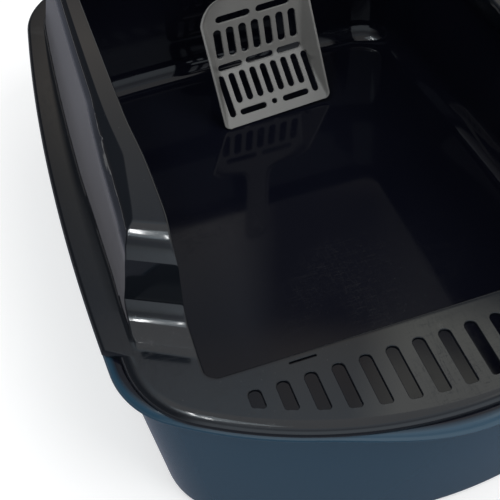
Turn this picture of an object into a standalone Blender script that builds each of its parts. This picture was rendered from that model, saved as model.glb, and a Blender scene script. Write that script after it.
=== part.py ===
# Open-top litter box: a tub, a lift-off guard rim and a slotted scoop.
# World frame in metres: X to the box's right, Y to its back, Z up, the ground at Z = 0.
import math

import bmesh
import bpy
from mathutils import Matrix, Vector

# Start from an empty scene
for leftover in list(bpy.data.objects):
    bpy.data.objects.remove(leftover, do_unlink=True)

# Whole box
box_half_length = 0.2719
skirt_half_width = 0.2068
widest_y = -0.0534
step_height = 0.1255
guard_rise = 0.065
guard_depth = 0.0592
fit_gap = 0.0003
skirt_clearance = 0.0005
wall = 0.0022
side_radius = 1.901
rear_radius = 1.50
skirt_rear_corner = 0.0684

# Tub lip
step_over_lip = 0.006
lip_front_radius = 0.295
lip_front_corner = 0.063
lip_thickness = 0.0024
lip_width = 0.0095
lip_turn_down = 0.0053
lip_edge_radius = 0.0015
grip_reach = 0.0095
grip_half_span = 0.100

# Tub walls and floor
wall_inset = 0.0065
base_side_inset = 0.0251
base_rear_inset = 0.0259
base_front_inset = 0.0105
base_front_radius = 0.290
base_front_corner = 0.050
base_rear_corner = 0.047
tub_wall = 0.0026
floor_top = 0.0082
floor_thickness = 0.0035
floor_fillet = 0.020
foot_radius = 0.007
foot_width = 0.006
foot_slope_run = 0.004

# Rim edge over the front of the tub
edge_setback = 0.0014
edge_side_step = 0.0097
edge_front_corner = 0.075
edge_radius = 0.0045
skirt_radius = 0.003
skirt_drop = 0.0100
notch_thickness = 0.0003
flat_inset = 0.014
edge_flat_inset = 0.008

# Opening in the rim, and distances measured back from its front edge
step_depth = 0.0736
opening_front_corner = 0.007
opening_rear_corner = 0.016
opening_turn_down = 0.0045
opening_edge_radius = 0.002
notch_run = 0.044
notch_inner_run = 0.0112
wing_foot_run = 0.0260
wing_run = 0.0401
wing_slant = 0.53
wing_wall = 0.002
crest_crisp_run = 0.0694
crest_broad_run = 0.1374
crest_rear_run = 0.2074

# Slots of the step
slot_count = 15
slot_pitch = 0.018
slot_width = 0.0081
slot_top_inset = 0.016
slot_bottom_inset = 0.015
slot_bottom_radius = 0.288
slot_corner = 0.0012
slit_x = 0.090
slit_inset = 0.006
slit_length = 0.018
slit_width = 0.0018

# Scoop pan
pan_length = 0.1228
pan_bend = 0.0523
pan_depth = 0.02255
pan_half_width = 0.0535
pan_wall = 0.0022
pan_edge_depth = 0.0008
pan_edge_thickness = 0.0012
pan_top_depth = 0.0016
pan_corner_fill = 0.0016
pan_draft = 0.44

# Scoop handle
handle_half_width = 0.013
handle_length = 0.110
handle_thickness = 0.0040
hang_hole_width = 0.008
hang_hole_length = 0.016
hang_hole_from_end = 0.018

# Scoop slots, measured up the pan from the leading edge or from the bend
low_row_v = 0.0133
low_row_inner = 0.0095
low_row_outer = 0.0335
long_row_pitch = 0.0105
long_row_top = 0.0490
long_row_bottom = 0.0240
long_row_outer_bottom = 0.0125
bend_row_inner = 0.0127
bend_row_start = 0.0180
bend_row_end = 0.0405
upper_row_pitch = 0.0123
upper_row_bottom = 0.0160
upper_row_top = 0.0430
top_row_v = 0.0550
top_row_inner = 0.0040
top_row_outer = 0.0350
pan_slot_width = 0.0034
pan_hole_width = 0.0038

# Where the scoop stands
scoop_x = 0.0167
scoop_yaw = math.radians(2.6)
scoop_lean = math.radians(65.25)
scoop_roll = math.radians(2.3)
handle_lean = math.radians(87.2)

# How near the middle plane a half's open edge is joined
merge_reach = 0.00005

# Numbers of points round each curve and of slots in each row
tub_steps = (9, 6, 6, 7, 5)
foot_steps = 3
fillet_steps = 4
edge_steps = 3
front_steps = 10
corner_steps = 6
side_steps = 7
rear_corner_steps = 8
rear_steps = 4
round_end_steps = 6
pan_end_steps = 4
long_slots_each_side = 4
upper_slots_each_side = 3

# S-curve: share of its run, share of the guard's rise
wing_shares = (
    (0.0, 0.0),
    (0.24, 0.0145),
    (0.476, 0.029),
    (0.530, 0.036),
    (0.562, 0.055),
    (0.588, 0.098),
    (0.606, 0.746),
    (0.619, 0.812),
    (0.659, 0.873),
    (0.747, 0.9406),
    (0.865, 0.9847),
    (1.0, 1.0),
)

# Guard from flange to shelf: share of the rise, then the share of the way in
# at the wing's crisp end, at its broad crest and towards the back
guard_shares = (
    (0.0, 0.330, 0.330, 0.330),
    (0.013, 0.366, 0.362, 0.362),
    (0.055, 0.388, 0.383, 0.383),
    (0.39, 0.444, 0.452, 0.480),
    (0.75, 0.490, 0.530, 0.600),
    (0.91, 0.541, 0.581, 0.650),
    (0.985, 0.572, 0.665, 0.700),
    (1.0, 0.610, 0.790, 0.770),
)
shelf_share = 0.870

# How much further in the hidden side of the guard's wall stands, and how the wall's
# points spread where it has almost run out
hidden_wall_share = 0.041
spread_share = 0.020

# Outline of the pan's rim: share of the pan's length, share of its half width
pan_outline_shares = (
    (0.0, 0.915),
    (0.012, 0.965),
    (0.040, 1.0),
    (0.160, 1.0),
    (0.290, 1.0),
    (0.405, 1.0),
    (0.426, 1.0),
    (0.447, 1.0),
    (0.570, 1.0),
    (0.690, 1.0),
    (0.800, 1.0),
    (0.850, 0.960),
    (0.890, 0.900),
    (0.925, 0.825),
    (0.952, 0.735),
    (0.970, 0.620),
    (0.982, 0.500),
    (0.993, 0.395),
)

# Handle: share of its length, share of its half width
handle_shares = (
    (0.015, 1.26),
    (0.055, 1.08),
    (0.12, 1.0),
    (0.30, 0.96),
    (0.60, 1.0),
    (0.84, 1.08),
    (0.92, 1.02),
    (0.965, 0.82),
    (0.990, 0.52),
    (1.0, 0.30),
)

# Derived sizes
lip_top = step_height - step_over_lip
lip_inset = wall + skirt_clearance
edge_bottom_z = fit_gap - step_over_lip
lip_half_width = skirt_half_width - lip_inset
lip_rear_y = box_half_length - lip_inset
lip_front_y = grip_reach - box_half_length
edge_front_y = lip_front_y + edge_setback
base_front_y = lip_front_y + base_front_inset
base_half_width = skirt_half_width - base_side_inset
base_rear_y = box_half_length - base_rear_inset
opening_front_y = edge_front_y + step_depth
opening_rear_y = box_half_length - guard_depth
opening_half_width = skirt_half_width - guard_depth
notch_y = opening_front_y + notch_run
notch_inner_y = opening_front_y + notch_inner_run
wing_foot_y = opening_front_y + wing_foot_run
wing_top_y = wing_foot_y + wing_run
slot_top_y = opening_front_y - slot_top_inset
slot_bottom_y = edge_front_y + slot_bottom_inset
slit_y = opening_front_y - slit_inset


# Collections
box_collection = bpy.data.collections.new("open_top_litter_box")
bpy.context.scene.collection.children.link(box_collection)
cutter_collection = bpy.data.collections.new("cutters")
bpy.context.scene.collection.children.link(cutter_collection)


def plastic(name, colour, roughness):
    """One moulded plastic."""
    material = bpy.data.materials.new(name)
    material.use_nodes = True
    shader = material.node_tree.nodes["Principled BSDF"]
    shader.inputs["Base Color"].default_value = (*colour, 1.0)
    shader.inputs["Roughness"].default_value = roughness
    material.diffuse_color = (*colour, 1.0)
    return material


def object_from(mesh_data, name, collection, frame):
    """Turn a bmesh drawn in a frame into an object that stands in that frame."""
    bmesh.ops.recalc_face_normals(mesh_data, faces=mesh_data.faces)
    mesh = bpy.data.meshes.new(name)
    mesh_data.to_mesh(mesh)
    mesh_data.free()
    made = bpy.data.objects.new(name, mesh)
    made.matrix_world = frame
    collection.objects.link(made)
    return made


def mirror(target):
    """Complete a right half that is open at its middle plane."""
    modifier = target.modifiers.new("mirror", "MIRROR")
    modifier.use_axis = (True, False, False)
    modifier.use_mirror_merge = True
    modifier.merge_threshold = merge_reach


def cut(target, cutter):
    """Take a cutter out of a piece with an exact Boolean."""
    cutter.hide_render = True
    cutter.display_type = "WIRE"
    modifier = target.modifiers.new("cut_" + cutter.name, "BOOLEAN")
    modifier.operation = "DIFFERENCE"
    modifier.solver = "EXACT"
    modifier.object = cutter


def between(low, high, share):
    """The value at a share of the way from one value to another."""
    return low + (high - low) * share


def table_value(table, x, column):
    """Value in a column of a table at x, on straight lines between its rows."""
    if x <= table[0][0]:
        return table[0][column]
    for near, far in zip(table[:-1], table[1:]):
        if x <= far[0]:
            return between(near[column], far[column], (x - near[0]) / (far[0] - near[0]))
    return table[-1][column]


def crossing(first, first_reach, second, second_reach):
    """The point at two given distances from two centres, to the right of the line between them."""
    line = second - first
    span = line.length
    along = (first_reach ** 2 - second_reach ** 2 + span ** 2) / (2 * span)
    aside = math.sqrt(max(first_reach ** 2 - along ** 2, 0.0))
    unit = line / span
    spots = (
        first + unit * along + Vector((-unit.y, unit.x)) * aside,
        first + unit * along - Vector((-unit.y, unit.x)) * aside,
    )
    return max(spots, key=lambda spot: spot.x)


def heading(centre, spot):
    """Angle of the direction from a centre to a point."""
    return math.atan2(spot.y - centre.y, spot.x - centre.x)


class Outline:
    """Right half of a plan outline made of five tangent arcs, front to back."""

    def __init__(self, front_bow, front_y, half_width, rear_y, front_corner, rear_corner, inset):
        side_bow = side_radius - inset
        rear_bow = rear_radius - inset
        self.front = (Vector((0.0, front_y + front_bow)), front_bow)
        self.side = (Vector((half_width - side_bow, widest_y)), side_bow)
        self.rear = (Vector((0.0, rear_y - rear_bow)), rear_bow)
        first = crossing(self.front[0], front_bow - front_corner, self.side[0], side_bow - front_corner)
        second = crossing(self.side[0], side_bow - rear_corner, self.rear[0], rear_bow - rear_corner)
        self.front_corner = (first, front_corner)
        self.rear_corner = (second, rear_corner)
        self.turns = (
            -math.pi / 2,
            heading(self.front[0], first),
            heading(self.side[0], first),
            heading(self.side[0], second),
            heading(self.rear[0], second),
            math.pi / 2,
        )

    def arc(self, part, start, end, steps, last=False):
        """Points and outward directions along one of the arcs."""
        centre, reach = part
        count = steps + 1 if last else steps
        found = []
        for index in range(count):
            angle = between(start, end, index / steps)
            outward = Vector((math.cos(angle), math.sin(angle)))
            found.append((centre + outward * reach, outward))
        return found

    def half(self, steps):
        """All points from the middle of the front to the middle of the back."""
        parts = (self.front, self.front_corner, self.side, self.rear_corner, self.rear)
        found = []
        for index, part in enumerate(parts):
            last = index == len(parts) - 1
            found += self.arc(part, self.turns[index], self.turns[index + 1], steps[index], last)
        found[0][0].x = 0.0
        found[-1][0].x = 0.0
        return found

    def side_point(self, y):
        """Point and outward direction on the side arc at a given Y."""
        centre, reach = self.side
        angle = math.asin((y - centre.y) / reach)
        outward = Vector((math.cos(angle), math.sin(angle)))
        return centre + outward * reach, outward


def skin(rings, closed):
    """Join rings of points with quads, round each ring if it is closed."""
    mesh_data = bmesh.new()
    grid = [[mesh_data.verts.new(point) for point in ring] for ring in rings]
    for near, far in zip(grid[:-1], grid[1:]):
        count = len(near) if closed else len(near) - 1
        for index in range(count):
            following = (index + 1) % len(near)
            mesh_data.faces.new((near[index], near[following], far[following], far[index]))
    return mesh_data, grid


def quarter(steps):
    """Sine and cosine pairs round a quarter turn."""
    turns = [math.pi / 2 * index / steps for index in range(steps + 1)]
    return [(math.sin(turn), math.cos(turn)) for turn in turns]


# Tub, right half
lip_outline = Outline(
    lip_front_radius, lip_front_y, lip_half_width, lip_rear_y,
    lip_front_corner, skirt_rear_corner - lip_inset, lip_inset,
).half(tub_steps)
wall_outline = Outline(
    lip_front_radius - wall_inset, lip_front_y + wall_inset, lip_half_width - wall_inset,
    lip_rear_y - wall_inset, lip_front_corner - wall_inset,
    skirt_rear_corner - lip_inset - wall_inset, lip_inset + wall_inset,
).half(tub_steps)
base_outline = Outline(
    base_front_radius, base_front_y, base_half_width, base_rear_y,
    base_front_corner, base_rear_corner, lip_inset + wall_inset,
).half(tub_steps)


def grip_bulge(x):
    """How far the lip swells forward at a given X."""
    share = abs(x) / grip_half_span
    return grip_reach * (1 - share ** 2) ** 2 if share < 1 else 0.0


def lip_ring(inset, height, bulge):
    """Half ring round the lip."""
    ring = []
    for spot, out in lip_outline:
        point = spot - out * inset
        swell = grip_bulge(spot.x) * bulge if spot.y < 0 else 0.0
        ring.append(Vector((point.x, point.y - swell, height)))
    ring[0].x = 0.0
    ring[-1].x = 0.0
    return ring


def wall_ring(inset, height):
    """Half ring on the drafted wall."""
    share = height / wall_top_z
    ring = []
    for (low, low_out), (high, high_out) in zip(base_outline, wall_outline):
        point = low.lerp(high, share) - low_out.lerp(high_out, share) * inset
        ring.append(Vector((point.x, point.y, height)))
    ring[0].x = 0.0
    ring[-1].x = 0.0
    return ring


lip_underside = lip_top - lip_thickness
lip_bottom = lip_top - lip_turn_down
wall_top_z = lip_bottom - lip_edge_radius
foot_inner = foot_radius + foot_width
underside_z = floor_top - floor_thickness
fillet_top = floor_top + floor_fillet
tub_rings = [
    wall_ring(foot_inner + foot_slope_run, underside_z),
    wall_ring(foot_inner, 0.0),
]
for rise, run in quarter(foot_steps):
    tub_rings.append(wall_ring(foot_radius * (1 - rise), foot_radius * (1 - run)))
tub_rings += [
    wall_ring(0.0, wall_top_z),
    lip_ring(wall_inset - lip_edge_radius, lip_underside - lip_edge_radius / 2, 0.0),
    lip_ring(lip_thickness + lip_edge_radius, lip_underside, 0.5),
    lip_ring(lip_thickness, lip_underside, 1.0),
    lip_ring(lip_thickness, lip_bottom, 1.0),
    lip_ring(lip_edge_radius / 3, lip_bottom, 1.0),
    lip_ring(0.0, lip_bottom + lip_edge_radius / 2, 1.0),
    lip_ring(0.0, lip_top - lip_edge_radius, 1.0),
    lip_ring(lip_edge_radius / 3, lip_top - lip_edge_radius / 3, 1.0),
    lip_ring(lip_edge_radius, lip_top, 1.0),
    lip_ring(lip_width - lip_edge_radius, lip_top, 0.0),
    lip_ring(lip_width - lip_edge_radius / 3, lip_top - lip_edge_radius / 3, 0.0),
    wall_ring(tub_wall, lip_top - lip_edge_radius),
]
for rise, run in quarter(fillet_steps):
    inset = tub_wall + floor_fillet * (1 - run)
    tub_rings.append(wall_ring(inset, fillet_top - floor_fillet * rise))

tub_mesh, tub_grid = skin(tub_rings, False)
tub_mesh.faces.new(tub_grid[0])
tub_mesh.faces.new(tub_grid[-1])
tub = object_from(tub_mesh, "litter_tub", box_collection, Matrix.Identity(4))
tub.data.materials.append(plastic("tub_navy", (0.030, 0.042, 0.085), 0.22))
mirror(tub)

# Guard rim, right half: stations with the points that each section is drawn between
edge_outline = Outline(
    lip_front_radius, edge_front_y, skirt_half_width - edge_side_step, box_half_length,
    edge_front_corner, skirt_rear_corner, edge_side_step,
)
skirt_outline = Outline(
    lip_front_radius, edge_front_y, skirt_half_width, box_half_length,
    edge_front_corner, skirt_rear_corner, 0.0,
)


def wing_rise(inner_y):
    """Share of the guard's full rise on the slanted line that meets the opening at inner_y."""
    return table_value(wing_shares, (inner_y - wing_foot_y) / wing_run, 1)


def guard_rows(inner_y):
    """Share of the rise and share of the way in, blended between the three guard sections."""
    crisp_y = opening_front_y + crest_crisp_run
    broad_y = opening_front_y + crest_broad_run
    rear_y = opening_front_y + crest_rear_run
    rows = []
    for height, crisp, broad, rear in guard_shares:
        blend = ((crisp_y, crisp), (broad_y, broad), (rear_y, rear))
        rows.append((height, table_value(blend, inner_y, 1)))
    return rows


def station(edge_spot, inner, skirted, blend, rise, hidden_rise, bottom):
    """One section: outer edge point and direction, opening point, and how the guard stands there."""
    edge, out = edge_spot
    flange = edge if skirted else edge + out * edge_side_step
    return {
        "edge": edge, "out": out, "inner": inner, "skirted": skirted, "flange": flange,
        "blend": blend, "rise": rise, "hidden_rise": hidden_rise, "bottom": bottom,
    }


stations = []
straight_half = opening_half_width - opening_front_corner
front_arc = edge_outline.arc(edge_outline.front, edge_outline.turns[0], edge_outline.turns[1], front_steps)
for index, edge_spot in enumerate(front_arc):
    inner = Vector((straight_half * index / front_steps, opening_front_y))
    stations.append(station(edge_spot, inner, False, 0.0, 0.0, 0.0, edge_bottom_z))

corner_arc = edge_outline.arc(
    edge_outline.front_corner, edge_outline.turns[1], edge_outline.turns[2], corner_steps
)
for index, edge_spot in enumerate(corner_arc):
    share = index / corner_steps
    turn = -math.pi / 2 * (1 - share)
    middle = Vector((straight_half, opening_front_y + opening_front_corner))
    inner = middle + Vector((math.cos(turn), math.sin(turn))) * opening_front_corner
    stations.append(station(edge_spot, inner, False, share, 0.0, 0.0, edge_bottom_z))

# The notch: the rim steps out over the lip, then the skirt drops over the lip's edge
notches = (
    (edge_outline, 0, False, edge_bottom_z),
    (skirt_outline, 1, True, edge_bottom_z),
    (skirt_outline, 2, True, -skirt_drop),
)
for outline, place, skirted, bottom in notches:
    moved = notch_thickness * place
    inner = Vector((opening_half_width, notch_inner_y + moved))
    edge_spot = outline.side_point(notch_y + moved)
    stations.append(station(edge_spot, inner, skirted, 1.0, 0.0, 0.0, bottom))

gap_across = skirt_half_width - opening_half_width
for share, rise in wing_shares:
    inner_y = wing_foot_y + wing_run * share
    edge_spot = skirt_outline.side_point(inner_y + wing_slant * gap_across)
    inner = Vector((opening_half_width, inner_y))
    hidden = wing_rise(inner_y - wing_wall)
    stations.append(station(edge_spot, inner, True, 1.0, rise, hidden, -skirt_drop))

rear_corner_turns = (skirt_outline.turns[3], skirt_outline.turns[4])
side_centre, side_reach = skirt_outline.side
side_end_y = side_centre.y + side_reach * math.sin(rear_corner_turns[0])
inner_side_end = opening_rear_y - opening_rear_corner
outer_start = wing_top_y + wing_slant * gap_across
for index in range(1, side_steps + 1):
    share = index / (side_steps + 1)
    edge_spot = skirt_outline.side_point(between(outer_start, side_end_y, share))
    inner = Vector((opening_half_width, between(wing_top_y, inner_side_end, share)))
    stations.append(station(edge_spot, inner, True, 1.0, 1.0, 1.0, -skirt_drop))

rear_corner_arc = skirt_outline.arc(skirt_outline.rear_corner, *rear_corner_turns, rear_corner_steps)
for index, edge_spot in enumerate(rear_corner_arc):
    turn = math.pi / 2 * index / rear_corner_steps
    middle = Vector((opening_half_width - opening_rear_corner, inner_side_end))
    inner = middle + Vector((math.cos(turn), math.sin(turn))) * opening_rear_corner
    stations.append(station(edge_spot, inner, True, 1.0, 1.0, 1.0, -skirt_drop))

rear_arc = skirt_outline.arc(
    skirt_outline.rear, rear_corner_turns[1], math.pi / 2, rear_steps, last=True
)
for index, edge_spot in enumerate(rear_arc):
    across = (opening_half_width - opening_rear_corner) * (1 - index / rear_steps)
    inner = Vector((across, opening_rear_y))
    stations.append(station(edge_spot, inner, True, 1.0, 1.0, 1.0, -skirt_drop))


def guard_points(place, rise, further):
    """The guard's wall and crest at one station, cut off where the wing's strip runs lower."""
    rows = guard_rows(place["inner"].y)
    found = []
    for height, share in rows:
        reached = height * rise
        if rise < 1 and height > rows[1][0]:
            share = max(table_value(rows, reached, 1), rows[1][1] + (height - rows[1][0]) * spread_share)
        found.append((share + further, reached * guard_rise))
    return found


def rim_section(place):
    """Closed section polygon at one station, from the outer edge over the top and back underneath."""
    edge, out, inner = place["edge"], place["out"], place["inner"]
    rounding = skirt_radius if place["skirted"] else edge_radius
    bottom = place["bottom"]
    flange = place["flange"]
    from_edge = (inner - edge).normalized()
    flat_start = guard_shares[0][1]

    def across(share):
        """Between flange and opening by share, bunched near the opening along the step."""
        sided = flange + (inner - flange) * share
        bunched = opening_edge_radius + edge_flat_inset * (1 - share) / (1 - flat_start)
        return (inner - from_edge * bunched).lerp(sided, place["blend"])

    section = [(edge, bottom), (edge, -rounding)]
    for rise, run in quarter(edge_steps)[1:]:
        section.append((edge - out * rounding * (1 - run), -rounding * (1 - rise)))
    flat_front = edge + from_edge * edge_flat_inset
    flat_side = flange - out * flat_inset
    section.append((flat_front.lerp(flat_side, place["blend"]), 0.0))
    for share, height in guard_points(place, place["rise"], 0.0):
        section.append((across(share), height))
    top = guard_rise * place["rise"]
    hidden_top = guard_rise * place["hidden_rise"]
    section += [
        (across(shelf_share), top),
        (inner - from_edge * opening_edge_radius, top),
        (inner - from_edge * opening_edge_radius / 3, top - opening_edge_radius / 3),
        (inner, top - opening_edge_radius),
        (inner, top - opening_turn_down),
        (inner - from_edge * wall, top - opening_turn_down),
        (inner - from_edge * wall, hidden_top - wall),
    ]
    for share, height in guard_points(place, place["hidden_rise"], hidden_wall_share)[:0:-1]:
        section.append((across(share), height - wall))
    flat_under = edge + from_edge * (edge_flat_inset - opening_edge_radius)
    side_under = flange - out * (flat_inset - opening_edge_radius)
    section += [
        (flat_under.lerp(side_under, place["blend"]), -wall),
        (edge - out * wall, -wall - wall / 3),
        (edge - out * wall, bottom),
    ]
    return section


rim_rings = [
    [Vector((spot.x, spot.y, height)) for spot, height in rim_section(place)]
    for place in stations
]
for point in rim_rings[0] + rim_rings[-1]:
    point.x = 0.0
rim_mesh, rim_grid = skin(rim_rings, True)
rim = object_from(rim_mesh, "guard_rim", box_collection, Matrix.Translation((0.0, 0.0, step_height)))
rim.data.materials.append(plastic("rim_black", (0.012, 0.012, 0.013), 0.12))
mirror(rim)

# Slots and slits of the step, as one cutter
cut_above = step_height + edge_radius
cut_below = step_height - skirt_drop


def prism(mesh_data, outline, reach):
    """Add a prism to a bmesh, its outline swept both ways along a direction."""
    lower = [mesh_data.verts.new(spot - reach) for spot in outline]
    upper = [mesh_data.verts.new(spot + reach) for spot in outline]
    mesh_data.faces.new(lower)
    mesh_data.faces.new(upper)
    for index in range(len(outline)):
        following = (index + 1) % len(outline)
        mesh_data.faces.new((lower[index], lower[following], upper[following], upper[index]))


def round_slot(centre, along, aside, length, width, steps):
    """Outline of a slot with round ends."""
    straight = (length - width) / 2
    outline = []
    for end in (1, -1):
        for index in range(steps + 1):
            angle = math.pi * (index / steps - 1 / 2)
            turned = along * math.cos(angle) + aside * math.sin(angle)
            outline.append(centre + (along * straight + turned * width / 2) * end)
    return outline


def slot_bottom(x):
    """Y of the curved line that the slots end on."""
    return slot_bottom_y + slot_bottom_radius - math.sqrt(slot_bottom_radius ** 2 - x ** 2)


cut_middle = Vector((0.0, 0.0, (cut_above + cut_below) / 2))
cut_half = Vector((0.0, 0.0, (cut_above - cut_below) / 2))
step_cutter = bmesh.new()
half_slot = slot_width / 2
for index in range(slot_count):
    middle = (index - (slot_count - 1) / 2) * slot_pitch
    outline = []
    for turn in range(round_end_steps + 1):
        angle = math.pi * turn / round_end_steps
        round_y = slot_top_y - half_slot + half_slot * math.sin(angle)
        outline.append((middle + half_slot * math.cos(angle), round_y))
    left_end = slot_bottom(middle - half_slot)
    right_end = slot_bottom(middle + half_slot)
    outline += [
        (middle - half_slot, left_end + slot_corner),
        (middle - half_slot + slot_corner, left_end),
        (middle + half_slot - slot_corner, right_end),
        (middle + half_slot, right_end + slot_corner),
    ]
    prism(step_cutter, [Vector((x, y, cut_middle.z)) for x, y in outline], cut_half)
across_box = Vector((1.0, 0.0, 0.0))
along_box = Vector((0.0, 1.0, 0.0))
for side in (-1, 1):
    centre = Vector((side * slit_x, slit_y, cut_middle.z))
    outline = round_slot(centre, across_box, along_box, slit_length, slit_width, round_end_steps)
    prism(step_cutter, outline, cut_half)
step_cutter_object = object_from(step_cutter, "step_slots", cutter_collection, Matrix.Identity(4))
cut(rim, step_cutter_object)


# Scoop, drawn in its own frame: X across, Y up the pan, Z out of its open front
def pan_floor(along):
    """Depth of the pan's floor below its rim."""
    if along <= pan_bend:
        return between(pan_edge_depth, pan_depth, along / pan_bend)
    share = min((along - pan_bend) / (pan_length - pan_bend), 1.0)
    return between(pan_depth, pan_top_depth, share)


def scoop_section(half_width, depth, plate, draft):
    """Right half of the channel section, from the middle underneath round the wall to the inside."""
    fill = min(pan_corner_fill, depth / 2)
    side_wall = min(pan_wall, half_width / 3)
    return [
        (0.0, -depth - plate),
        (half_width - draft * depth - plate, -depth - plate),
        (half_width - draft * depth, -depth),
        (half_width, 0.0),
        (half_width - side_wall, 0.0),
        (half_width - side_wall - draft * (depth - fill), fill - depth),
        (half_width - side_wall - draft * depth - fill, -depth),
        (0.0, -depth),
    ]


bend_in = handle_lean - scoop_lean
thin_run = pan_bend / 4
scoop_rings = []
for share, width_share in pan_outline_shares:
    along = share * pan_length
    plate = between(pan_edge_thickness, pan_wall, min(along / thin_run, 1.0))
    section = scoop_section(pan_half_width * width_share, pan_floor(along), plate, pan_draft)
    scoop_rings.append([Vector((x, along, z)) for x, z in section])

handle_up = Vector((0.0, math.cos(bend_in), math.sin(bend_in)))
handle_start = Vector((0.0, pan_length, 0.0))
for share, width_share in handle_shares:
    ease = min(share / handle_shares[2][0], 1.0)
    turned = bend_in * between(0.5, 1.0, ease)
    front = Vector((0.0, -math.sin(turned), math.cos(turned)))
    plate = between(pan_wall, handle_thickness, ease)
    middle = handle_start + handle_up * handle_length * share
    section = scoop_section(handle_half_width * width_share, pan_top_depth, plate, pan_draft)
    scoop_rings.append([middle + Vector((x, 0.0, 0.0)) + front * z for x, z in section])

scoop_mesh, scoop_grid = skin(scoop_rings, False)
scoop_mesh.faces.new(scoop_grid[0])
scoop_mesh.faces.new(scoop_grid[-1])

# Frame of the standing scoop: its leading edge on the floor, its handle on the guard's back lip
scoop_turn = (
    Matrix.Rotation(scoop_yaw, 4, "Z")
    @ Matrix.Rotation(scoop_lean, 4, "X")
    @ Matrix.Rotation(scoop_roll, 4, "Z")
)
both_sides = (scoop_turn, scoop_turn @ Matrix.Scale(-1, 4, (1, 0, 0)))
lowest = min((turn @ vert.co).z for turn in both_sides for vert in scoop_mesh.verts)
scoop_rise = floor_top + fit_gap - lowest
seat_height = step_height + guard_rise - opening_edge_radius - scoop_rise


def back_at(mesh_data, frames, height):
    """Rearmost Y of a mesh at one height, in any of some turned frames."""
    found = []
    for frame in frames:
        for edge in mesh_data.edges:
            low, high = sorted((frame @ vert.co for vert in edge.verts), key=lambda spot: spot.z)
            if low.z < height < high.z:
                found.append(low.lerp(high, (height - low.z) / (high.z - low.z)).y)
    return max(found)


scoop_y = opening_rear_y - fit_gap - back_at(scoop_mesh, both_sides, seat_height)
scoop_frame = Matrix.Translation((scoop_x, scoop_y, scoop_rise)) @ scoop_turn
scoop = object_from(scoop_mesh, "scoop", box_collection, scoop_frame)
scoop.data.materials.append(plastic("scoop_grey", (0.52, 0.51, 0.48), 0.38))
mirror(scoop)

# Slots of the scoop, as one cutter in the scoop's frame
low_angle = math.atan2(pan_depth - pan_edge_depth, pan_bend)
high_angle = math.atan2(pan_depth - pan_top_depth, pan_length - pan_bend)
across_pan = Vector((1.0, 0.0, 0.0))
bend_corner = Vector((0.0, pan_bend, -pan_depth))
plates = {
    "low": (Vector((0.0, 0.0, -pan_edge_depth)), Vector((0.0, math.cos(low_angle), -math.sin(low_angle)))),
    "bend": (bend_corner, Vector((0.0, 1.0, 0.0))),
    "high": (bend_corner, Vector((0.0, math.cos(high_angle), math.sin(high_angle)))),
    "handle": (handle_start, handle_up),
}
cut_reach = pan_wall + pan_wall


def scoop_slot(mesh_data, plate, middle, upwards, size, reach):
    """Add a round-ended slot through one of the scoop's plates to a bmesh."""
    corner, up = plates[plate]
    through = across_pan.cross(up)
    along, aside = (up, across_pan) if upwards else (across_pan, up)
    centre = corner + across_pan * middle[0] + up * middle[1]
    prism(mesh_data, round_slot(centre, along, aside, size[0], size[1], pan_end_steps), through * reach)


scoop_cutter = bmesh.new()
low_size = (low_row_outer - low_row_inner, pan_slot_width)
bend_size = (bend_row_end - bend_row_start, pan_slot_width)
top_size = (top_row_outer - top_row_inner, pan_slot_width)
for side in (-1, 1):
    low_middle = side * (low_row_inner + low_row_outer) / 2
    bend_middle = side * (bend_row_start + bend_row_end) / 2
    top_middle = side * (top_row_inner + top_row_outer) / 2
    scoop_slot(scoop_cutter, "low", (low_middle, low_row_v), False, low_size, cut_reach)
    scoop_slot(scoop_cutter, "bend", (bend_middle, 0.0), False, bend_size, cut_reach)
    scoop_slot(scoop_cutter, "high", (top_middle, top_row_v), False, top_size, cut_reach)
hole_size = (pan_hole_width, pan_hole_width)
scoop_slot(scoop_cutter, "low", (0.0, low_row_v), True, hole_size, cut_reach)
middle_size = (bend_row_inner + bend_row_inner, pan_slot_width)
scoop_slot(scoop_cutter, "bend", (0.0, 0.0), False, middle_size, cut_reach)
for index in range(-long_slots_each_side, long_slots_each_side + 1):
    outermost = abs(index) == long_slots_each_side
    bottom = long_row_outer_bottom if outermost else long_row_bottom
    middle = (index * long_row_pitch, (bottom + long_row_top) / 2)
    scoop_slot(scoop_cutter, "low", middle, True, (long_row_top - bottom, pan_slot_width), cut_reach)
upper_size = (upper_row_top - upper_row_bottom, pan_slot_width)
for index in range(-upper_slots_each_side, upper_slots_each_side + 1):
    middle = (index * upper_row_pitch, (upper_row_bottom + upper_row_top) / 2)
    scoop_slot(scoop_cutter, "high", middle, True, upper_size, cut_reach)
hang_middle = (0.0, handle_length - hang_hole_from_end)
hang_size = (hang_hole_length, hang_hole_width)
scoop_slot(scoop_cutter, "handle", hang_middle, True, hang_size, handle_thickness + cut_reach)
scoop_cutter_object = object_from(scoop_cutter, "scoop_slots", cutter_collection, scoop_frame)
cut(scoop, scoop_cutter_object)
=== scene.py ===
# Open-top litter box: a navy tub, a lift-off black guard rim and a slotted grey scoop.
# Metres, X to the box's right, Y to its back, Z up, ground at Z = 0.
from math import asin, atan2, cos, hypot, pi, radians, sin, sqrt

import bmesh
import bpy
from mathutils import Matrix, Vector


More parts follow.
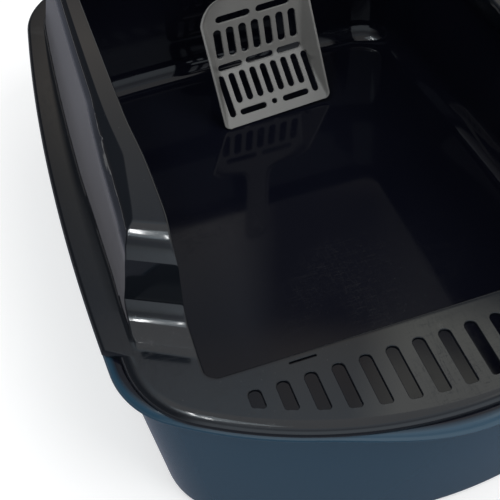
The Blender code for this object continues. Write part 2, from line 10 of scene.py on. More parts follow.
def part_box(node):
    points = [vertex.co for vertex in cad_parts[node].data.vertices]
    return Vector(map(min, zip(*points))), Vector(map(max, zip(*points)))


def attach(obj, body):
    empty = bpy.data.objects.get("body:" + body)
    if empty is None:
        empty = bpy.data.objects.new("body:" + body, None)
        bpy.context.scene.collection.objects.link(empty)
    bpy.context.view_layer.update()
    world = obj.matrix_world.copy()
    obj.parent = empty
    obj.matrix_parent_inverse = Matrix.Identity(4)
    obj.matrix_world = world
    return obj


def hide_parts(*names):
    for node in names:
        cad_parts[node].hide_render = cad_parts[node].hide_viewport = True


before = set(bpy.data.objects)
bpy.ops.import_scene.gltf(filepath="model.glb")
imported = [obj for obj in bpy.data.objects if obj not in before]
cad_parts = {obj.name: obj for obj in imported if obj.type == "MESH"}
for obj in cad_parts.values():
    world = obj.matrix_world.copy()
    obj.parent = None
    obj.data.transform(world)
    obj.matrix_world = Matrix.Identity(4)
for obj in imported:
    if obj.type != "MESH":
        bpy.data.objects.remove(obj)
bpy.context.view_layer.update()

# Sizes that all the pieces share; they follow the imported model
box = {
    "halfLength": 0.2719,
    "skirtHalfWidth": 0.2068,
    "widestY": -0.0534,
    "sideBow": 1.901,
    "rearBow": 1.50,
    "rearCorner": 0.0684,
    "stepHeight": 0.1255,
    "guardRise": 0.065,
    "wall": 0.0022,
    "clearance": 0.0005,
    "gap": 0.0003,
}


# Curve helpers
def monotone(xs, ys):
    # smooth curve through points that never overshoots them
    spans = [b - a for a, b in zip(xs[:-1], xs[1:])]
    slopes = [(b - a) / s for a, b, s in zip(ys[:-1], ys[1:], spans)]
    tangents = [slopes[0]]
    for k in range(1, len(xs) - 1):
        left, right = slopes[k - 1], slopes[k]
        if left * right <= 0:
            tangents.append(0.0)
        else:
            w1 = 2 * spans[k] + spans[k - 1]
            w2 = spans[k] + 2 * spans[k - 1]
            tangents.append((w1 + w2) / (w1 / left + w2 / right))
    tangents.append(slopes[-1])

    def at(x):
        if x <= xs[0]:
            return ys[0]
        if x >= xs[-1]:
            return ys[-1]
        k = max(i for i in range(len(spans)) if xs[i] <= x)
        t = (x - xs[k]) / spans[k]
        a = 2 * t ** 3 - 3 * t ** 2 + 1
        b = t ** 3 - 2 * t ** 2 + t
        c = 3 * t ** 2 - 2 * t ** 3
        d = t ** 3 - t ** 2
        return a * ys[k] + b * spans[k] * tangents[k] + c * ys[k + 1] + d * spans[k] * tangents[k + 1]

    return at


def smoothPath(points, count):
    # evenly spaced points on a smooth curve through a share table
    reach = [0.0]
    for (x0, y0), (x1, y1) in zip(points[:-1], points[1:]):
        reach.append(reach[-1] + hypot(x1 - x0, y1 - y0))
    xAt = monotone(reach, [p[0] for p in points])
    yAt = monotone(reach, [p[1] for p in points])
    stops = [reach[-1] * k / count for k in range(count + 1)]
    return [(xAt(s), yAt(s)) for s in stops]


def quarterTurn(steps):
    # sine and cosine round a quarter circle
    return [(sin(pi / 2 * k / steps), cos(pi / 2 * k / steps)) for k in range(steps + 1)]


def crossing(first, firstReach, second, secondReach):
    # point at two distances from two centres, on the right-hand side
    line = second - first
    along = (firstReach ** 2 - secondReach ** 2 + line.length ** 2) / (2 * line.length)
    aside = sqrt(max(firstReach ** 2 - along ** 2, 0.0))
    unit = line.normalized()
    across = Vector((-unit.y, unit.x)) * aside
    return max((first + unit * along + across, first + unit * along - across), key=lambda p: p.x)


def planOutline(bow, frontY, halfWidth, rearY, frontCorner, rearCorner, inset):
    # right half of a plan outline: front, corner, side, corner and rear arcs that run into each other
    sideBow, rearBow = box["sideBow"] - inset, box["rearBow"] - inset
    front = (Vector((0.0, frontY + bow)), bow)
    side = (Vector((halfWidth - sideBow, box["widestY"])), sideBow)
    rear = (Vector((0.0, rearY - rearBow)), rearBow)
    nearCorner = crossing(front[0], bow - frontCorner, side[0], sideBow - frontCorner)
    farCorner = crossing(side[0], sideBow - rearCorner, rear[0], rearBow - rearCorner)

    def turn(centre, spot):
        return atan2(spot.y - centre.y, spot.x - centre.x)

    turns = [-pi / 2, turn(front[0], nearCorner), turn(side[0], nearCorner)]
    turns += [turn(side[0], farCorner), turn(rear[0], farCorner), pi / 2]
    return {"arcs": [front, (nearCorner, frontCorner), side, (farCorner, rearCorner), rear], "turns": turns}


def arcPoints(arc, start, end, steps, last=False):
    centre, reach = arc
    found = []
    for k in range(steps + (1 if last else 0)):
        angle = start + (end - start) * k / steps
        outward = Vector((cos(angle), sin(angle)))
        found.append((centre + outward * reach, outward))
    return found


def closedLoop(plan, steps):
    # whole outline, right half first
    half = []
    for k, arc in enumerate(plan["arcs"]):
        half += arcPoints(arc, plan["turns"][k], plan["turns"][k + 1], steps[k], k == 4)
    other = [(Vector((-p.x, p.y)), Vector((-o.x, o.y))) for p, o in half[1:-1]]
    return half + other[::-1]


def sidePoint(plan, y):
    centre, reach = plan["arcs"][2]
    angle = asin((y - centre.y) / reach)
    outward = Vector((cos(angle), sin(angle)))
    return centre + outward * reach, outward


def skinRings(made, rings, closed=False, capped=False):
    # quads between rings of points
    grid = [[made.verts.new(p) for p in ring] for ring in rings]
    pairs = list(zip(grid[:-1], grid[1:]))
    if closed:
        pairs.append((grid[-1], grid[0]))
    for near, far in pairs:
        for k in range(len(near)):
            n = (k + 1) % len(near)
            made.faces.new((near[k], near[n], far[n], far[k]))
    if capped:
        made.faces.new(grid[0])
        made.faces.new(grid[-1])


def pieceFrom(made, name):
    bmesh.ops.recalc_face_normals(made, faces=made.faces)
    mesh = bpy.data.meshes.new(name)
    made.to_mesh(mesh)
    made.free()
    return addObject(name, mesh)


def addObject(name, data):
    piece = bpy.data.objects.new(name, data)
    bpy.context.scene.collection.objects.link(piece)
    return piece


def loftPiece(name, rings, closed=False, capped=False):
    made = bmesh.new()
    skinRings(made, rings, closed, capped)
    return pieceFrom(made, name)


def flaredLayers(top, flare, below, above, steps):
    # how far a cutter's outline grows at each height, so that the cut's upper edge is rounded
    layers = [(0.0, top - below)]
    layers += [(flare * (1 - run), top - flare * (1 - rise)) for rise, run in quarterTurn(steps)[:-1]]
    layers[-1] = (layers[-1][0], top + above)
    return layers


def roundSlot(straight, half):
    # outline of a round-ended slot: place lengthwise, share of its half width across
    loop = []
    for end, start in ((1, -pi / 2), (-1, pi / 2)):
        for k in range(9):
            turn = start + pi * k / 8
            loop.append((end * straight + half * cos(turn), sin(turn)))
    return loop


def applyModifiers(piece):
    graph = bpy.context.evaluated_depsgraph_get()
    made = bpy.data.meshes.new_from_object(piece.evaluated_get(graph))
    old = piece.data
    piece.modifiers.clear()
    piece.data = made
    bpy.data.meshes.remove(old)


def cutWith(piece, cutter):
    # exact Boolean, then the cutter goes
    cut = piece.modifiers.new("cut", "BOOLEAN")
    cut.operation, cut.solver, cut.object = "DIFFERENCE", "EXACT", cutter
    applyModifiers(piece)
    bpy.data.objects.remove(cutter, do_unlink=True)


def smoothFaces(piece, angle):
    for polygon in piece.data.polygons:
        polygon.use_smooth = True
    piece.data.set_sharp_from_angle(angle=radians(angle))
    weighted = piece.modifiers.new("weighted", "WEIGHTED_NORMAL")
    weighted.keep_sharp = True
    applyModifiers(piece)


def finishPiece(piece, node, body, material):
    piece.data.materials.clear()
    piece.data.materials.append(material)
    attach(piece, body)
    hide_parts(node)
    print(piece.name, "ready,", len(piece.data.polygons), "faces")


# Shader nodes
def node(tree, kind, **settings):
    made = tree.nodes.new(kind)
    for key, value in settings.items():
        setattr(made, key, value)
    return made


def feed(tree, socket, entry):
    # a number or a colour is set on the socket itself, an output is linked to it
    if isinstance(entry, (int, float)):
        socket.default_value = entry
    elif isinstance(entry, tuple):
        socket.default_value = (*entry, 1.0)
    elif entry is not None:
        tree.links.new(entry, socket)


def mathNode(tree, operation, first, second=None, clamp=False):
    made = node(tree, "ShaderNodeMath", operation=operation, use_clamp=clamp)
    feed(tree, made.inputs[0], first)
    feed(tree, made.inputs[1], second)
    return made.outputs[0]


def rangeNode(tree, value, low, high, toLow=0.0, toHigh=1.0):
    made = node(tree, "ShaderNodeMapRange")
    labels = ("Value", "From Min", "From Max", "To Min", "To Max")
    for label, entry in zip(labels, (value, low, high, toLow, toHigh)):
        feed(tree, made.inputs[label], entry)
    return made.outputs["Result"]


def mixColour(tree, factor, first, second):
    made = node(tree, "ShaderNodeMix", data_type="RGBA")
    for label, entry in (("Factor", factor), (6, first), (7, second)):
        feed(tree, made.inputs[label], entry)
    return made.outputs[2]


def noiseNode(tree, space, **entries):
    made = node(tree, "ShaderNodeTexNoise")
    feed(tree, made.inputs["Vector"], space)
    for label, entry in entries.items():
        feed(tree, made.inputs[label], entry)
    return made.outputs["Fac"]


def turnedSpace(tree, space, turn, stretch):
    made = node(tree, "ShaderNodeMapping")
    feed(tree, made.inputs["Vector"], space)
    made.inputs["Rotation"].default_value = turn
    made.inputs["Scale"].default_value = stretch
    return made.outputs["Vector"]


def objectSpace(tree):
    return node(tree, "ShaderNodeTexCoord").outputs["Object"]


def arrange(tree):
    # columns of four, in the order in which the nodes were made
    for k, made in enumerate(tree.nodes):
        made.location = (k // 4 * 220, -(k % 4) * 300)


# Shader node groups
def startGroup(name, inputs, outputs):
    # a group with its named values and the two ends that they come in and go out by
    group = bpy.data.node_groups.new(name, "ShaderNodeTree")
    for label, value in inputs.items():
        socket = group.interface.new_socket(name=label, in_out="INPUT", socket_type="NodeSocketFloat")
        socket.default_value = value
    for label in outputs:
        group.interface.new_socket(name=label, in_out="OUTPUT", socket_type="NodeSocketFloat")
    return group, node(group, "NodeGroupInput").outputs, node(group, "NodeGroupOutput").inputs


def buildScratches():
    # fine hairlines in two directions, as a height and a mask
    group, entry, leave = startGroup("hairlineScratches", {"Scale": 60.0, "Amount": 0.5}, ("Height", "Mask"))
    space, lines = objectSpace(group), []
    for turn, stretch in (((0.2, 0.1, 0.5), (1.0, 14.0, 9.0)), ((0.4, 0.3, -0.9), (12.0, 1.0, 9.0))):
        turned = turnedSpace(group, space, turn, stretch)
        noise = noiseNode(group, turned, Scale=entry["Scale"], Detail=3.0, Distortion=0.25)
        away = mathNode(group, "ABSOLUTE", mathNode(group, "SUBTRACT", noise, 0.5))
        lines.append(rangeNode(group, away, low=0.0, high=0.004, toLow=1.0, toHigh=0.0))
    patches = rangeNode(group, noiseNode(group, space, Scale=9.0), low=0.46, high=0.62)
    mask = mathNode(group, "MULTIPLY", mathNode(group, "MAXIMUM", *lines), patches, True)
    mask = mathNode(group, "MULTIPLY", mask, entry["Amount"], True)
    feed(group, leave["Mask"], mask)
    feed(group, leave["Height"], mathNode(group, "MULTIPLY", mask, -1.0))
    return group


def buildGloss():
    # roughness that drifts: smudges, wiped streaks and a dull film
    values = {"Clean": 0.08, "Dull": 0.20, "Scale": 12.0}
    group, entry, leave = startGroup("driftingGloss", values, ("Roughness", "Film"))
    space = objectSpace(group)
    smudges = noiseNode(group, space, Scale=entry["Scale"], Detail=5.0, Roughness=0.6)
    wiped = turnedSpace(group, space, (0.0, 0.0, 0.6), (1.0, 5.0, 1.0))
    streaks = noiseNode(group, wiped, Scale=22.0, Detail=4.0)
    smudges = rangeNode(group, smudges, low=0.40, high=0.70)
    streaks = rangeNode(group, streaks, low=0.50, high=0.75, toHigh=0.6)
    film = mathNode(group, "MAXIMUM", smudges, streaks, True)
    feed(group, leave["Roughness"], rangeNode(group, film, 0.0, 1.0, entry["Clean"], entry["Dull"]))
    feed(group, leave["Film"], film)
    return group


def buildDust():
    # sparse pale specks and lint
    group, entry, leave = startGroup("dustSpecks", {"Scale": 260.0, "Size": 0.10, "Amount": 0.5}, ("Mask",))
    space, cells = objectSpace(group), node(group, "ShaderNodeTexVoronoi")
    feed(group, cells.inputs["Vector"], space)
    feed(group, cells.inputs["Scale"], entry["Scale"])
    near = mathNode(group, "LESS_THAN", cells.outputs["Distance"], entry["Size"])
    picker = node(group, "ShaderNodeSeparateColor")
    feed(group, picker.inputs["Color"], cells.outputs["Color"])
    chosen = mathNode(group, "GREATER_THAN", picker.outputs["Red"], 0.80)
    patches = rangeNode(group, noiseNode(group, space, Scale=7.0), low=0.42, high=0.66)
    mask = mathNode(group, "MULTIPLY", mathNode(group, "MULTIPLY", near, chosen), patches)
    feed(group, leave["Mask"], mathNode(group, "MULTIPLY", mask, entry["Amount"], True))
    return group


def buildEdgeWear():
    # worn, polished edges: where the surface turns sharply outwards, broken up by noise
    group, entry, leave = startGroup("wornEdges", {"Start": 0.52, "End": 0.60, "Amount": 0.5}, ("Mask",))
    turned = node(group, "ShaderNodeNewGeometry").outputs["Pointiness"]
    edge = rangeNode(group, turned, entry["Start"], entry["End"])
    noise = noiseNode(group, objectSpace(group), Scale=70.0, Detail=4.0)
    mask = mathNode(group, "MULTIPLY", edge, rangeNode(group, noise, low=0.38, high=0.62, toLow=0.25), True)
    feed(group, leave["Mask"], mathNode(group, "MULTIPLY", mask, entry["Amount"], True))
    return group


def buildMouldSkin():
    # slight waviness and fine grain of a moulded plastic
    group, entry, leave = startGroup("mouldSkin", {"Wave": 0.6, "Grain": 0.1, "Grain Scale": 900.0}, ("Height",))
    space = objectSpace(group)
    wave = mathNode(group, "MULTIPLY", noiseNode(group, space, Scale=16.0, Detail=2.0), entry["Wave"])
    grain = noiseNode(group, space, Scale=entry["Grain Scale"], Detail=2.0)
    grain = mathNode(group, "MULTIPLY", grain, entry["Grain"])
    feed(group, leave["Height"], mathNode(group, "ADD", wave, grain))
    return group


effects = {
    "scratches": buildScratches(),
    "gloss": buildGloss(),
    "dust": buildDust(),
    "wear": buildEdgeWear(),
    "skin": buildMouldSkin(),
}
for effect in effects.values():
    arrange(effect)
print("shader groups built")


def placeGroup(tree, key, **values):
    made = node(tree, "ShaderNodeGroup", node_tree=effects[key])
    for label, value in values.items():
        feed(tree, made.inputs[label.replace("_", " ")], value)
    return made.outputs


def startMaterial(name):
    material = bpy.data.materials.new(name)
    material.use_nodes = True
    return material, material.node_tree, material.node_tree.nodes["Principled BSDF"].inputs


# what all the mouldings share: where their colour drifts, what dust and hairlines add to the roughness
plastic = {"driftLow": 0.35, "driftHigh": 0.65, "dustDulls": 0.4, "linesDull": 0.15, "bumpDepth": 0.0004}


def mouldedPlastic(name, look):
    # glossy moulded plastic: drifting colour, smudges, hairlines, dust, worn edges; a look may also ask for painted
    # light and shade on its outer faces, or for a painted reflection
    material, tree, shader = startMaterial(name)
    drift = noiseNode(tree, objectSpace(tree), Scale=look["driftScale"], Detail=4.0)
    share = rangeNode(tree, drift, plastic["driftLow"], plastic["driftHigh"])
    colour = mixColour(tree, share, look["colour"], look["drift"])
    # painted light and shade: the outer faces take the lighter colour and a coat as lit faces, and the rest keeps
    # the darker colour as shaded faces
    if "outerPaintedLightColour" in look:
        outside = mixColour(tree, share, look["outerPaintedLightColour"], look["outerPaintedLightDrift"])
        outer = node(tree, "ShaderNodeAttribute", attribute_name="outer").outputs["Fac"]
        colour = mixColour(tree, outer, colour, outside)
        feed(tree, shader["Coat Weight"], mathNode(tree, "MULTIPLY", outer, look["outerCoat"], True))
    gloss = placeGroup(tree, "gloss", Clean=look["clean"], Dull=look["dull"], Scale=look["smudgeScale"])
    wear = placeGroup(tree, "wear", Start=look["wearStart"], End=look["wearEnd"], Amount=look["wear"])
    dust = placeGroup(tree, "dust", Scale=look["dustScale"], Size=look["dustSize"], Amount=look["dust"])
    lines = placeGroup(tree, "scratches", Scale=look["scratchScale"], Amount=look["scratches"])
    skin = placeGroup(tree, "skin", Wave=look["wave"], Grain=look["grain"], Grain_Scale=look["grainScale"])
    colour = mixColour(tree, wear["Mask"], colour, look["worn"])
    colour = mixColour(tree, dust["Mask"], colour, look["lint"])
    rough = gloss["Roughness"]
    for mask, share in ((dust["Mask"], plastic["dustDulls"]), (lines["Mask"], plastic["linesDull"])):
        rough = mathNode(tree, "ADD", rough, mathNode(tree, "MULTIPLY", mask, share), True)
    # painted reflection: where the mask asks, the black takes a lighter lavender grey and duller gloss in place of
    # the bright room it would mirror
    if "paintedReflectionColour" in look:
        paintedReflection = node(tree, "ShaderNodeAttribute", attribute_name="paintedReflection").outputs["Fac"]
        colour = mixColour(tree, paintedReflection, colour, look["paintedReflectionColour"])
        rough = mathNode(tree, "MAXIMUM", rough, mathNode(tree, "MULTIPLY", paintedReflection, look["paintedReflectionRoughness"]))
    feed(tree, shader["Base Color"], colour)
    feed(tree, shader["Roughness"], rough)
    deep = node(tree, "ShaderNodeBump")
    feed(tree, deep.inputs["Strength"], look["bump"])
    feed(tree, deep.inputs["Distance"], plastic["bumpDepth"])
    feed(tree, deep.inputs["Height"], mathNode(tree, "ADD", lines["Height"], skin["Height"]))
    feed(tree, shader["Normal"], deep.outputs["Normal"])
    feed(tree, shader["IOR"], look["ior"])
    arrange(tree)
    return material


# Tub
tub = {
    "lipTop": 0.1195,
    "lipFrontBow": 0.295,
    "lipFrontY": -0.2624,
    "gripReach": 0.0095,
    "lipFrontCorner": 0.063,
    "lipThickness": 0.0024,
    "lipWidth": 0.0095,
    "lipTurnDown": 0.0053,
    "lipRounding": 0.0016,
    "lipInset": 0.0006,
    "lipRoll": (0.0065, 0.0042),
    "gripHalfSpan": 0.100,
    "wallInset": 0.0065,
    "baseHalfWidth": 0.1817,
    "baseFrontBow": 0.290,
    "baseFrontY": -0.2519,
    "baseRearY": 0.2460,
    "baseFrontCorner": 0.050,
    "baseRearCorner": 0.047,
    "wall": 0.0026,
    "floorTop": 0.0082,
    "floorThickness": 0.0035,
    "floorFillet": 0.020,
    "footRounding": 0.007,
    "footWidth": 0.006,
    "footSlope": 0.004,
    "footEdge": 0.0008,
    "steps": (64, 30, 60, 36, 40),
}
tubLook = {
    # painted shade: the inside is near black, darker than the tub's navy plastic
    "colour": (0.0042, 0.0048, 0.0095),
    "drift": (0.0052, 0.0058, 0.0110),
    # painted light: the outside and the lip are lighter where light falls on them, and a coat makes them glossier
    "outerPaintedLightColour": (0.0190, 0.0540, 0.0900),
    "outerPaintedLightDrift": (0.0220, 0.0590, 0.0970),
    "outerCoat": 0.5,
    "driftScale": 5.0,
    "worn": (0.050, 0.068, 0.090),
    "wear": 0.30,
    "wearStart": 0.53,
    "wearEnd": 0.62,
    "lint": (0.16, 0.17, 0.18),
    "dust": 0.25,
    "dustScale": 330.0,
    "dustSize": 0.09,
    "clean": 0.035,
    "dull": 0.11,
    "smudgeScale": 7.0,
    "scratches": 0.22,
    "scratchScale": 26.0,
    "wave": 0.9,
    "grain": 0.05,
    "grainScale": 1500.0,
    "bump": 0.18,
    "ior": 1.34,
}


def buildTub():
    inset, lipInset = box["wall"] + box["clearance"], tub["lipInset"]
    lipPlan = planOutline(
        tub["lipFrontBow"], tub["lipFrontY"], box["skirtHalfWidth"] - lipInset, box["halfLength"] - lipInset,
        tub["lipFrontCorner"], box["rearCorner"] - lipInset, lipInset,
    )
    lip = closedLoop(lipPlan, tub["steps"])
    deeper = tub["wallInset"]
    wallPlan = planOutline(
        tub["lipFrontBow"] - deeper, tub["lipFrontY"] + deeper, box["skirtHalfWidth"] - inset - deeper,
        box["halfLength"] - inset - deeper, tub["lipFrontCorner"] - deeper,
        box["rearCorner"] - inset - deeper, inset + deeper,
    )
    upper = closedLoop(wallPlan, tub["steps"])
    basePlan = planOutline(
        tub["baseFrontBow"], tub["baseFrontY"], tub["baseHalfWidth"], tub["baseRearY"],
        tub["baseFrontCorner"], tub["baseRearCorner"], inset + deeper,
    )
    lower = closedLoop(basePlan, tub["steps"])
    wallTop = tub["lipTop"] - tub["lipTurnDown"] - tub["lipThickness"]

    def lipRing(depth, height, swell):
        ring = []
        for spot, out in lip:
            point = spot - out * depth
            share = abs(spot.x) / tub["gripHalfSpan"]
            grip = tub["gripReach"] * (1 - share ** 2) ** 2 * swell if share < 1 and spot.y < 0 else 0.0
            ring.append(Vector((point.x, point.y - grip, height)))
        return ring

    def wallRing(depth, height):
        share = height / wallTop
        ring = []
        for (low, lowOut), (high, highOut) in zip(lower, upper):
            point = low.lerp(high, share) - lowOut.lerp(highOut, share) * depth
            ring.append(Vector((point.x, point.y, height)))
        return ring

    rounding, thick = tub["lipRounding"], tub["lipThickness"] + inset - lipInset
    top, under, bottom = tub["lipTop"], tub["lipTop"] - tub["lipThickness"], tub["lipTop"] - tub["lipTurnDown"]
    footInner = tub["footRounding"] + tub["footWidth"]
    rings = [
        wallRing(footInner + tub["footSlope"], tub["floorTop"] - tub["floorThickness"]),
        wallRing(footInner + tub["footEdge"], tub["footEdge"]),
        wallRing(footInner - tub["footEdge"] / 2, 0.0),
    ]
    for rise, run in quarterTurn(8):
        rings.append(wallRing(tub["footRounding"] * (1 - rise), tub["footRounding"] * (1 - run)))
    for k in range(1, 13):
        rings.append(wallRing(0.0, tub["footRounding"] + (wallTop - tub["footRounding"]) * k / 12))
    rings += [
        lipRing(tub["wallInset"] - rounding / 3, under - rounding, 0.0),
        lipRing(tub["wallInset"] - rounding, under - rounding / 3, 0.0),
        lipRing(thick + rounding, under, 0.5),
        lipRing(thick, under - rounding / 3, 1.0),
        lipRing(thick, bottom, 1.0),
    ]
    for rise, run in quarterTurn(3):
        rings.append(lipRing(rounding / 2 * (1 - rise), bottom + rounding / 2 * (1 - run), 1.0))
    rollRun, rollDrop = tub["lipRoll"]
    for rise, run in quarterTurn(9):
        rings.append(lipRing(rollRun * (1 - run), top - rollDrop * (1 - rise), 1.0 - 0.3 * rise))
    rings.append(lipRing(tub["lipWidth"] - rounding, top, 0.0))
    lipEnd = len(rings)
    for rise, run in quarterTurn(5)[1:]:
        rings.append(lipRing(tub["lipWidth"] - rounding * (1 - rise), top - rounding * (1 - run), 0.0))
    filletTop = tub["floorTop"] + tub["floorFillet"]
    wallStart = top - rounding * 2
    for k in range(0, 10):
        rings.append(wallRing(tub["wall"], wallStart + (filletTop - wallStart) * k / 10))
    for rise, run in quarterTurn(16):
        rings.append(wallRing(tub["wall"] + tub["floorFillet"] * (1 - run), filletTop - tub["floorFillet"] * rise))
    piece = loftPiece("tubShell", rings, capped=True)
    # painted light and shade: the outside and the lip get a lighter steel blue as lit faces, and the inside a
    # darker navy as shaded faces, though the tub is one plastic
    outer = piece.data.attributes.new("outer", "FLOAT", "POINT")
    for k in range(len(rings)):
        for n, (spot, out) in enumerate(lip):
            outer.data[k * len(lip) + n].value = min(max((lipEnd - 3 - k) / 3, 0.0), 1.0)
    smoothFaces(piece, 40)
    return piece


finishPiece(buildTub(), "litter_tub", "tub", mouldedPlastic("tubNavyGloss", tubLook))

# Guard rim
rim = {
    "edgeFrontY": -0.2620,
    "edgeSideStep": 0.0097,
    "edgeFrontCorner": 0.069,
    "edgeRounding": 0.0074,
    "skirtRounding": 0.003,
    "skirtDrop": 0.0057,
    "notchY": -0.1442,
    "notchInnerY": -0.1762,
    "notchLength": 0.0006,
    "notchRamp": 0.0024,
    "notchLag": 0.0057,
    "wingLagLength": 0.012,
    "flatInset": 0.014,
    "flatClear": 0.0006,
    "rollClear": 0.0008,
    "rollDrop": 0.0048,
    "edgeFlatInset": 0.0086,
    "openingHalfWidth": 0.1476,
    # the opening is a little narrower along the side than at its ends: Y, change
    "openingWaist": [
        (-0.1800, 0.0017), (-0.1350, 0.0011), (-0.1000, -0.0018), (-0.0600, -0.0020), (0.0, 0.0002), (0.2, 0.0),
    ],
    "openingFrontY": -0.1874,
    "openingRearY": 0.2126,
    "openingFrontCorner": 0.007,
    "openingRearCorner": 0.016,
    "openingTurnDown": 0.0045,
    "openingRounding": 0.002,
    "wingSlant": 0.53,
    "wingWall": 0.002,
    "wingSide": {
        "startY": -0.1725,
        "flangeBow": 0.0445,
        "flangeTurn": 0.19,
        "step": 0.0003,
        "rampTurn": 0.22,
        "hollow": 0.0185,
        "hollowTop": 0.0223,
        "steepTurn": 1.05,
        "crisp": 0.0010,
        "faceY": -0.1372,
        "lean": 0.0006,
        "crest": 0.028,
    },
    "stripEdge": 0.0009,
    # share of the guard's height, then share of the way in at the wing, along the side and at the back
    "guardCurve": [
        (0.0, 0.330, 0.330, 0.330), (0.013, 0.366, 0.362, 0.362), (0.055, 0.388, 0.383, 0.383),
        (0.390, 0.444, 0.452, 0.480), (0.750, 0.489, 0.522, 0.600), (0.880, 0.525, 0.560, 0.650),
        (0.970, 0.580, 0.640, 0.700), (1.0, 0.650, 0.790, 0.770),
    ],
    "guardWhere": [-0.1180, -0.0500, 0.0200],
    # painted reflection on the guard's outer wall: from and to which share of its height, and how softly its upper
    # end fades
    "paintedReflectionFrom": 0.045,
    "paintedReflectionTo": 0.84,
    "paintedReflectionFade": 0.05,
    "lowSpread": 0.05,
    "lowSpreadTo": 0.03,
    "hiddenShare": 0.041,
    "slotCount": 15,
    "slotPitch": 0.018,
    "slotWidth": 0.0081,
    "slotTopY": -0.2034,
    "slotBottomY": -0.2460,
    "slotBottomBow": 0.288,
    "slotCorner": 0.0020,
    "slotFlare": 0.0008,
    "slitX": 0.090,
    "slitY": -0.1934,
    "slitLength": 0.018,
    "slitWidth": 0.0018,
    "slitFlare": 0.0004,
    "cutBelow": 0.012,
    "cutAbove": 0.004,
}
rimLook = {
    "colour": (0.0055, 0.0072, 0.0105),
    "drift": (0.0066, 0.0084, 0.0118),
    # painted reflection: the lavender grey that the guard's outer walls take in place of mirroring a bright room
    "paintedReflectionColour": (0.150, 0.147, 0.162),
    "paintedReflectionRoughness": 0.36,
    "driftScale": 4.0,
    "worn": (0.050, 0.052, 0.056),
    "wear": 0.35,
    "wearStart": 0.53,
    "wearEnd": 0.62,
    "lint": (0.20, 0.20, 0.20),
    "dust": 0.30,
    "dustScale": 330.0,
    "dustSize": 0.09,
    "clean": 0.030,
    "dull": 0.10,
    "smudgeScale": 9.0,
    "scratches": 0.22,
    "scratchScale": 30.0,
    "wave": 0.8,
    "grain": 0.06,
    "grainScale": 1400.0,
    "bump": 0.18,
    "ior": 1.47,
}


def wingPath():
    # side view of the wing's front: rising flange, small step, ramp, hollow, steep face, round crest
    wing, top = rim["wingSide"], box["guardRise"]
    path = []
    for k in range(8):
        turn = wing["flangeTurn"] * k / 7
        path.append((wing["startY"] + wing["flangeBow"] * sin(turn), wing["flangeBow"] * (1 - cos(turn))))
    footY, footZ = path[-1]
    for rise, run in quarterTurn(5)[1:]:
        path.append((footY + wing["step"] * (1 - run), footZ + wing["step"] * rise))
    footY, footZ = path[-1]
    hollow, crest, crisp, steep = wing["hollow"], wing["crest"], wing["crisp"], wing["steepTurn"]
    # the two bows stop at the steep turn and a tight one takes each into the face
    over = crisp * (1 - sin(steep))
    middleY, middleZ = wing["faceY"] - over - hollow * sin(steep), wing["hollowTop"]
    for k in range(17):
        turn = wing["rampTurn"] + (steep - wing["rampTurn"]) * k / 16
        spot = (middleY + hollow * sin(turn), middleZ - hollow * cos(turn))
        if k == 0:
            for n in range(1, 9):
                path.append((footY + (spot[0] - footY) * n / 9, footZ + (spot[1] - footZ) * n / 9))
        path.append(spot)
    lowY, lowZ = path[-1]
    for k in range(1, 6):
        turn = steep + (pi / 2 - steep) * k / 5
        path.append((lowY + crisp * (sin(turn) - sin(steep)), lowZ + crisp * (cos(steep) - cos(turn))))
    faceZ = path[-1][1]
    crestStart = (wing["faceY"] + wing["lean"] + over, top - crest * (1 - cos(steep)))
    faceTop = crestStart[1] - crisp * cos(steep)
    for k in range(1, 12):
        path.append((wing["faceY"] + wing["lean"] * k / 12, faceZ + (faceTop - faceZ) * k / 12))
    for k in range(6):
        turn = pi / 2 - (pi / 2 - steep) * k / 5
        across, up = crisp * (sin(turn) - sin(steep)), crisp * (cos(steep) - cos(turn))
        path.append((crestStart[0] - across, crestStart[1] - up))
    for k in range(1, 25):
        turn = steep * (1 - k / 24)
        path.append((crestStart[0] + crest * (sin(steep) - sin(turn)), top - crest * (1 - cos(turn))))
    return path


def wingRise(innerY):
    # share of the guard's rise at a place along the wing
    path = wingPath()
    if innerY <= path[0][0]:
        return 0.0
    for (y0, z0), (y1, z1) in zip(path[:-1], path[1:]):
        if innerY <= y1:
            return (z0 + (z1 - z0) * (innerY - y0) / (y1 - y0)) / box["guardRise"]
    return 1.0


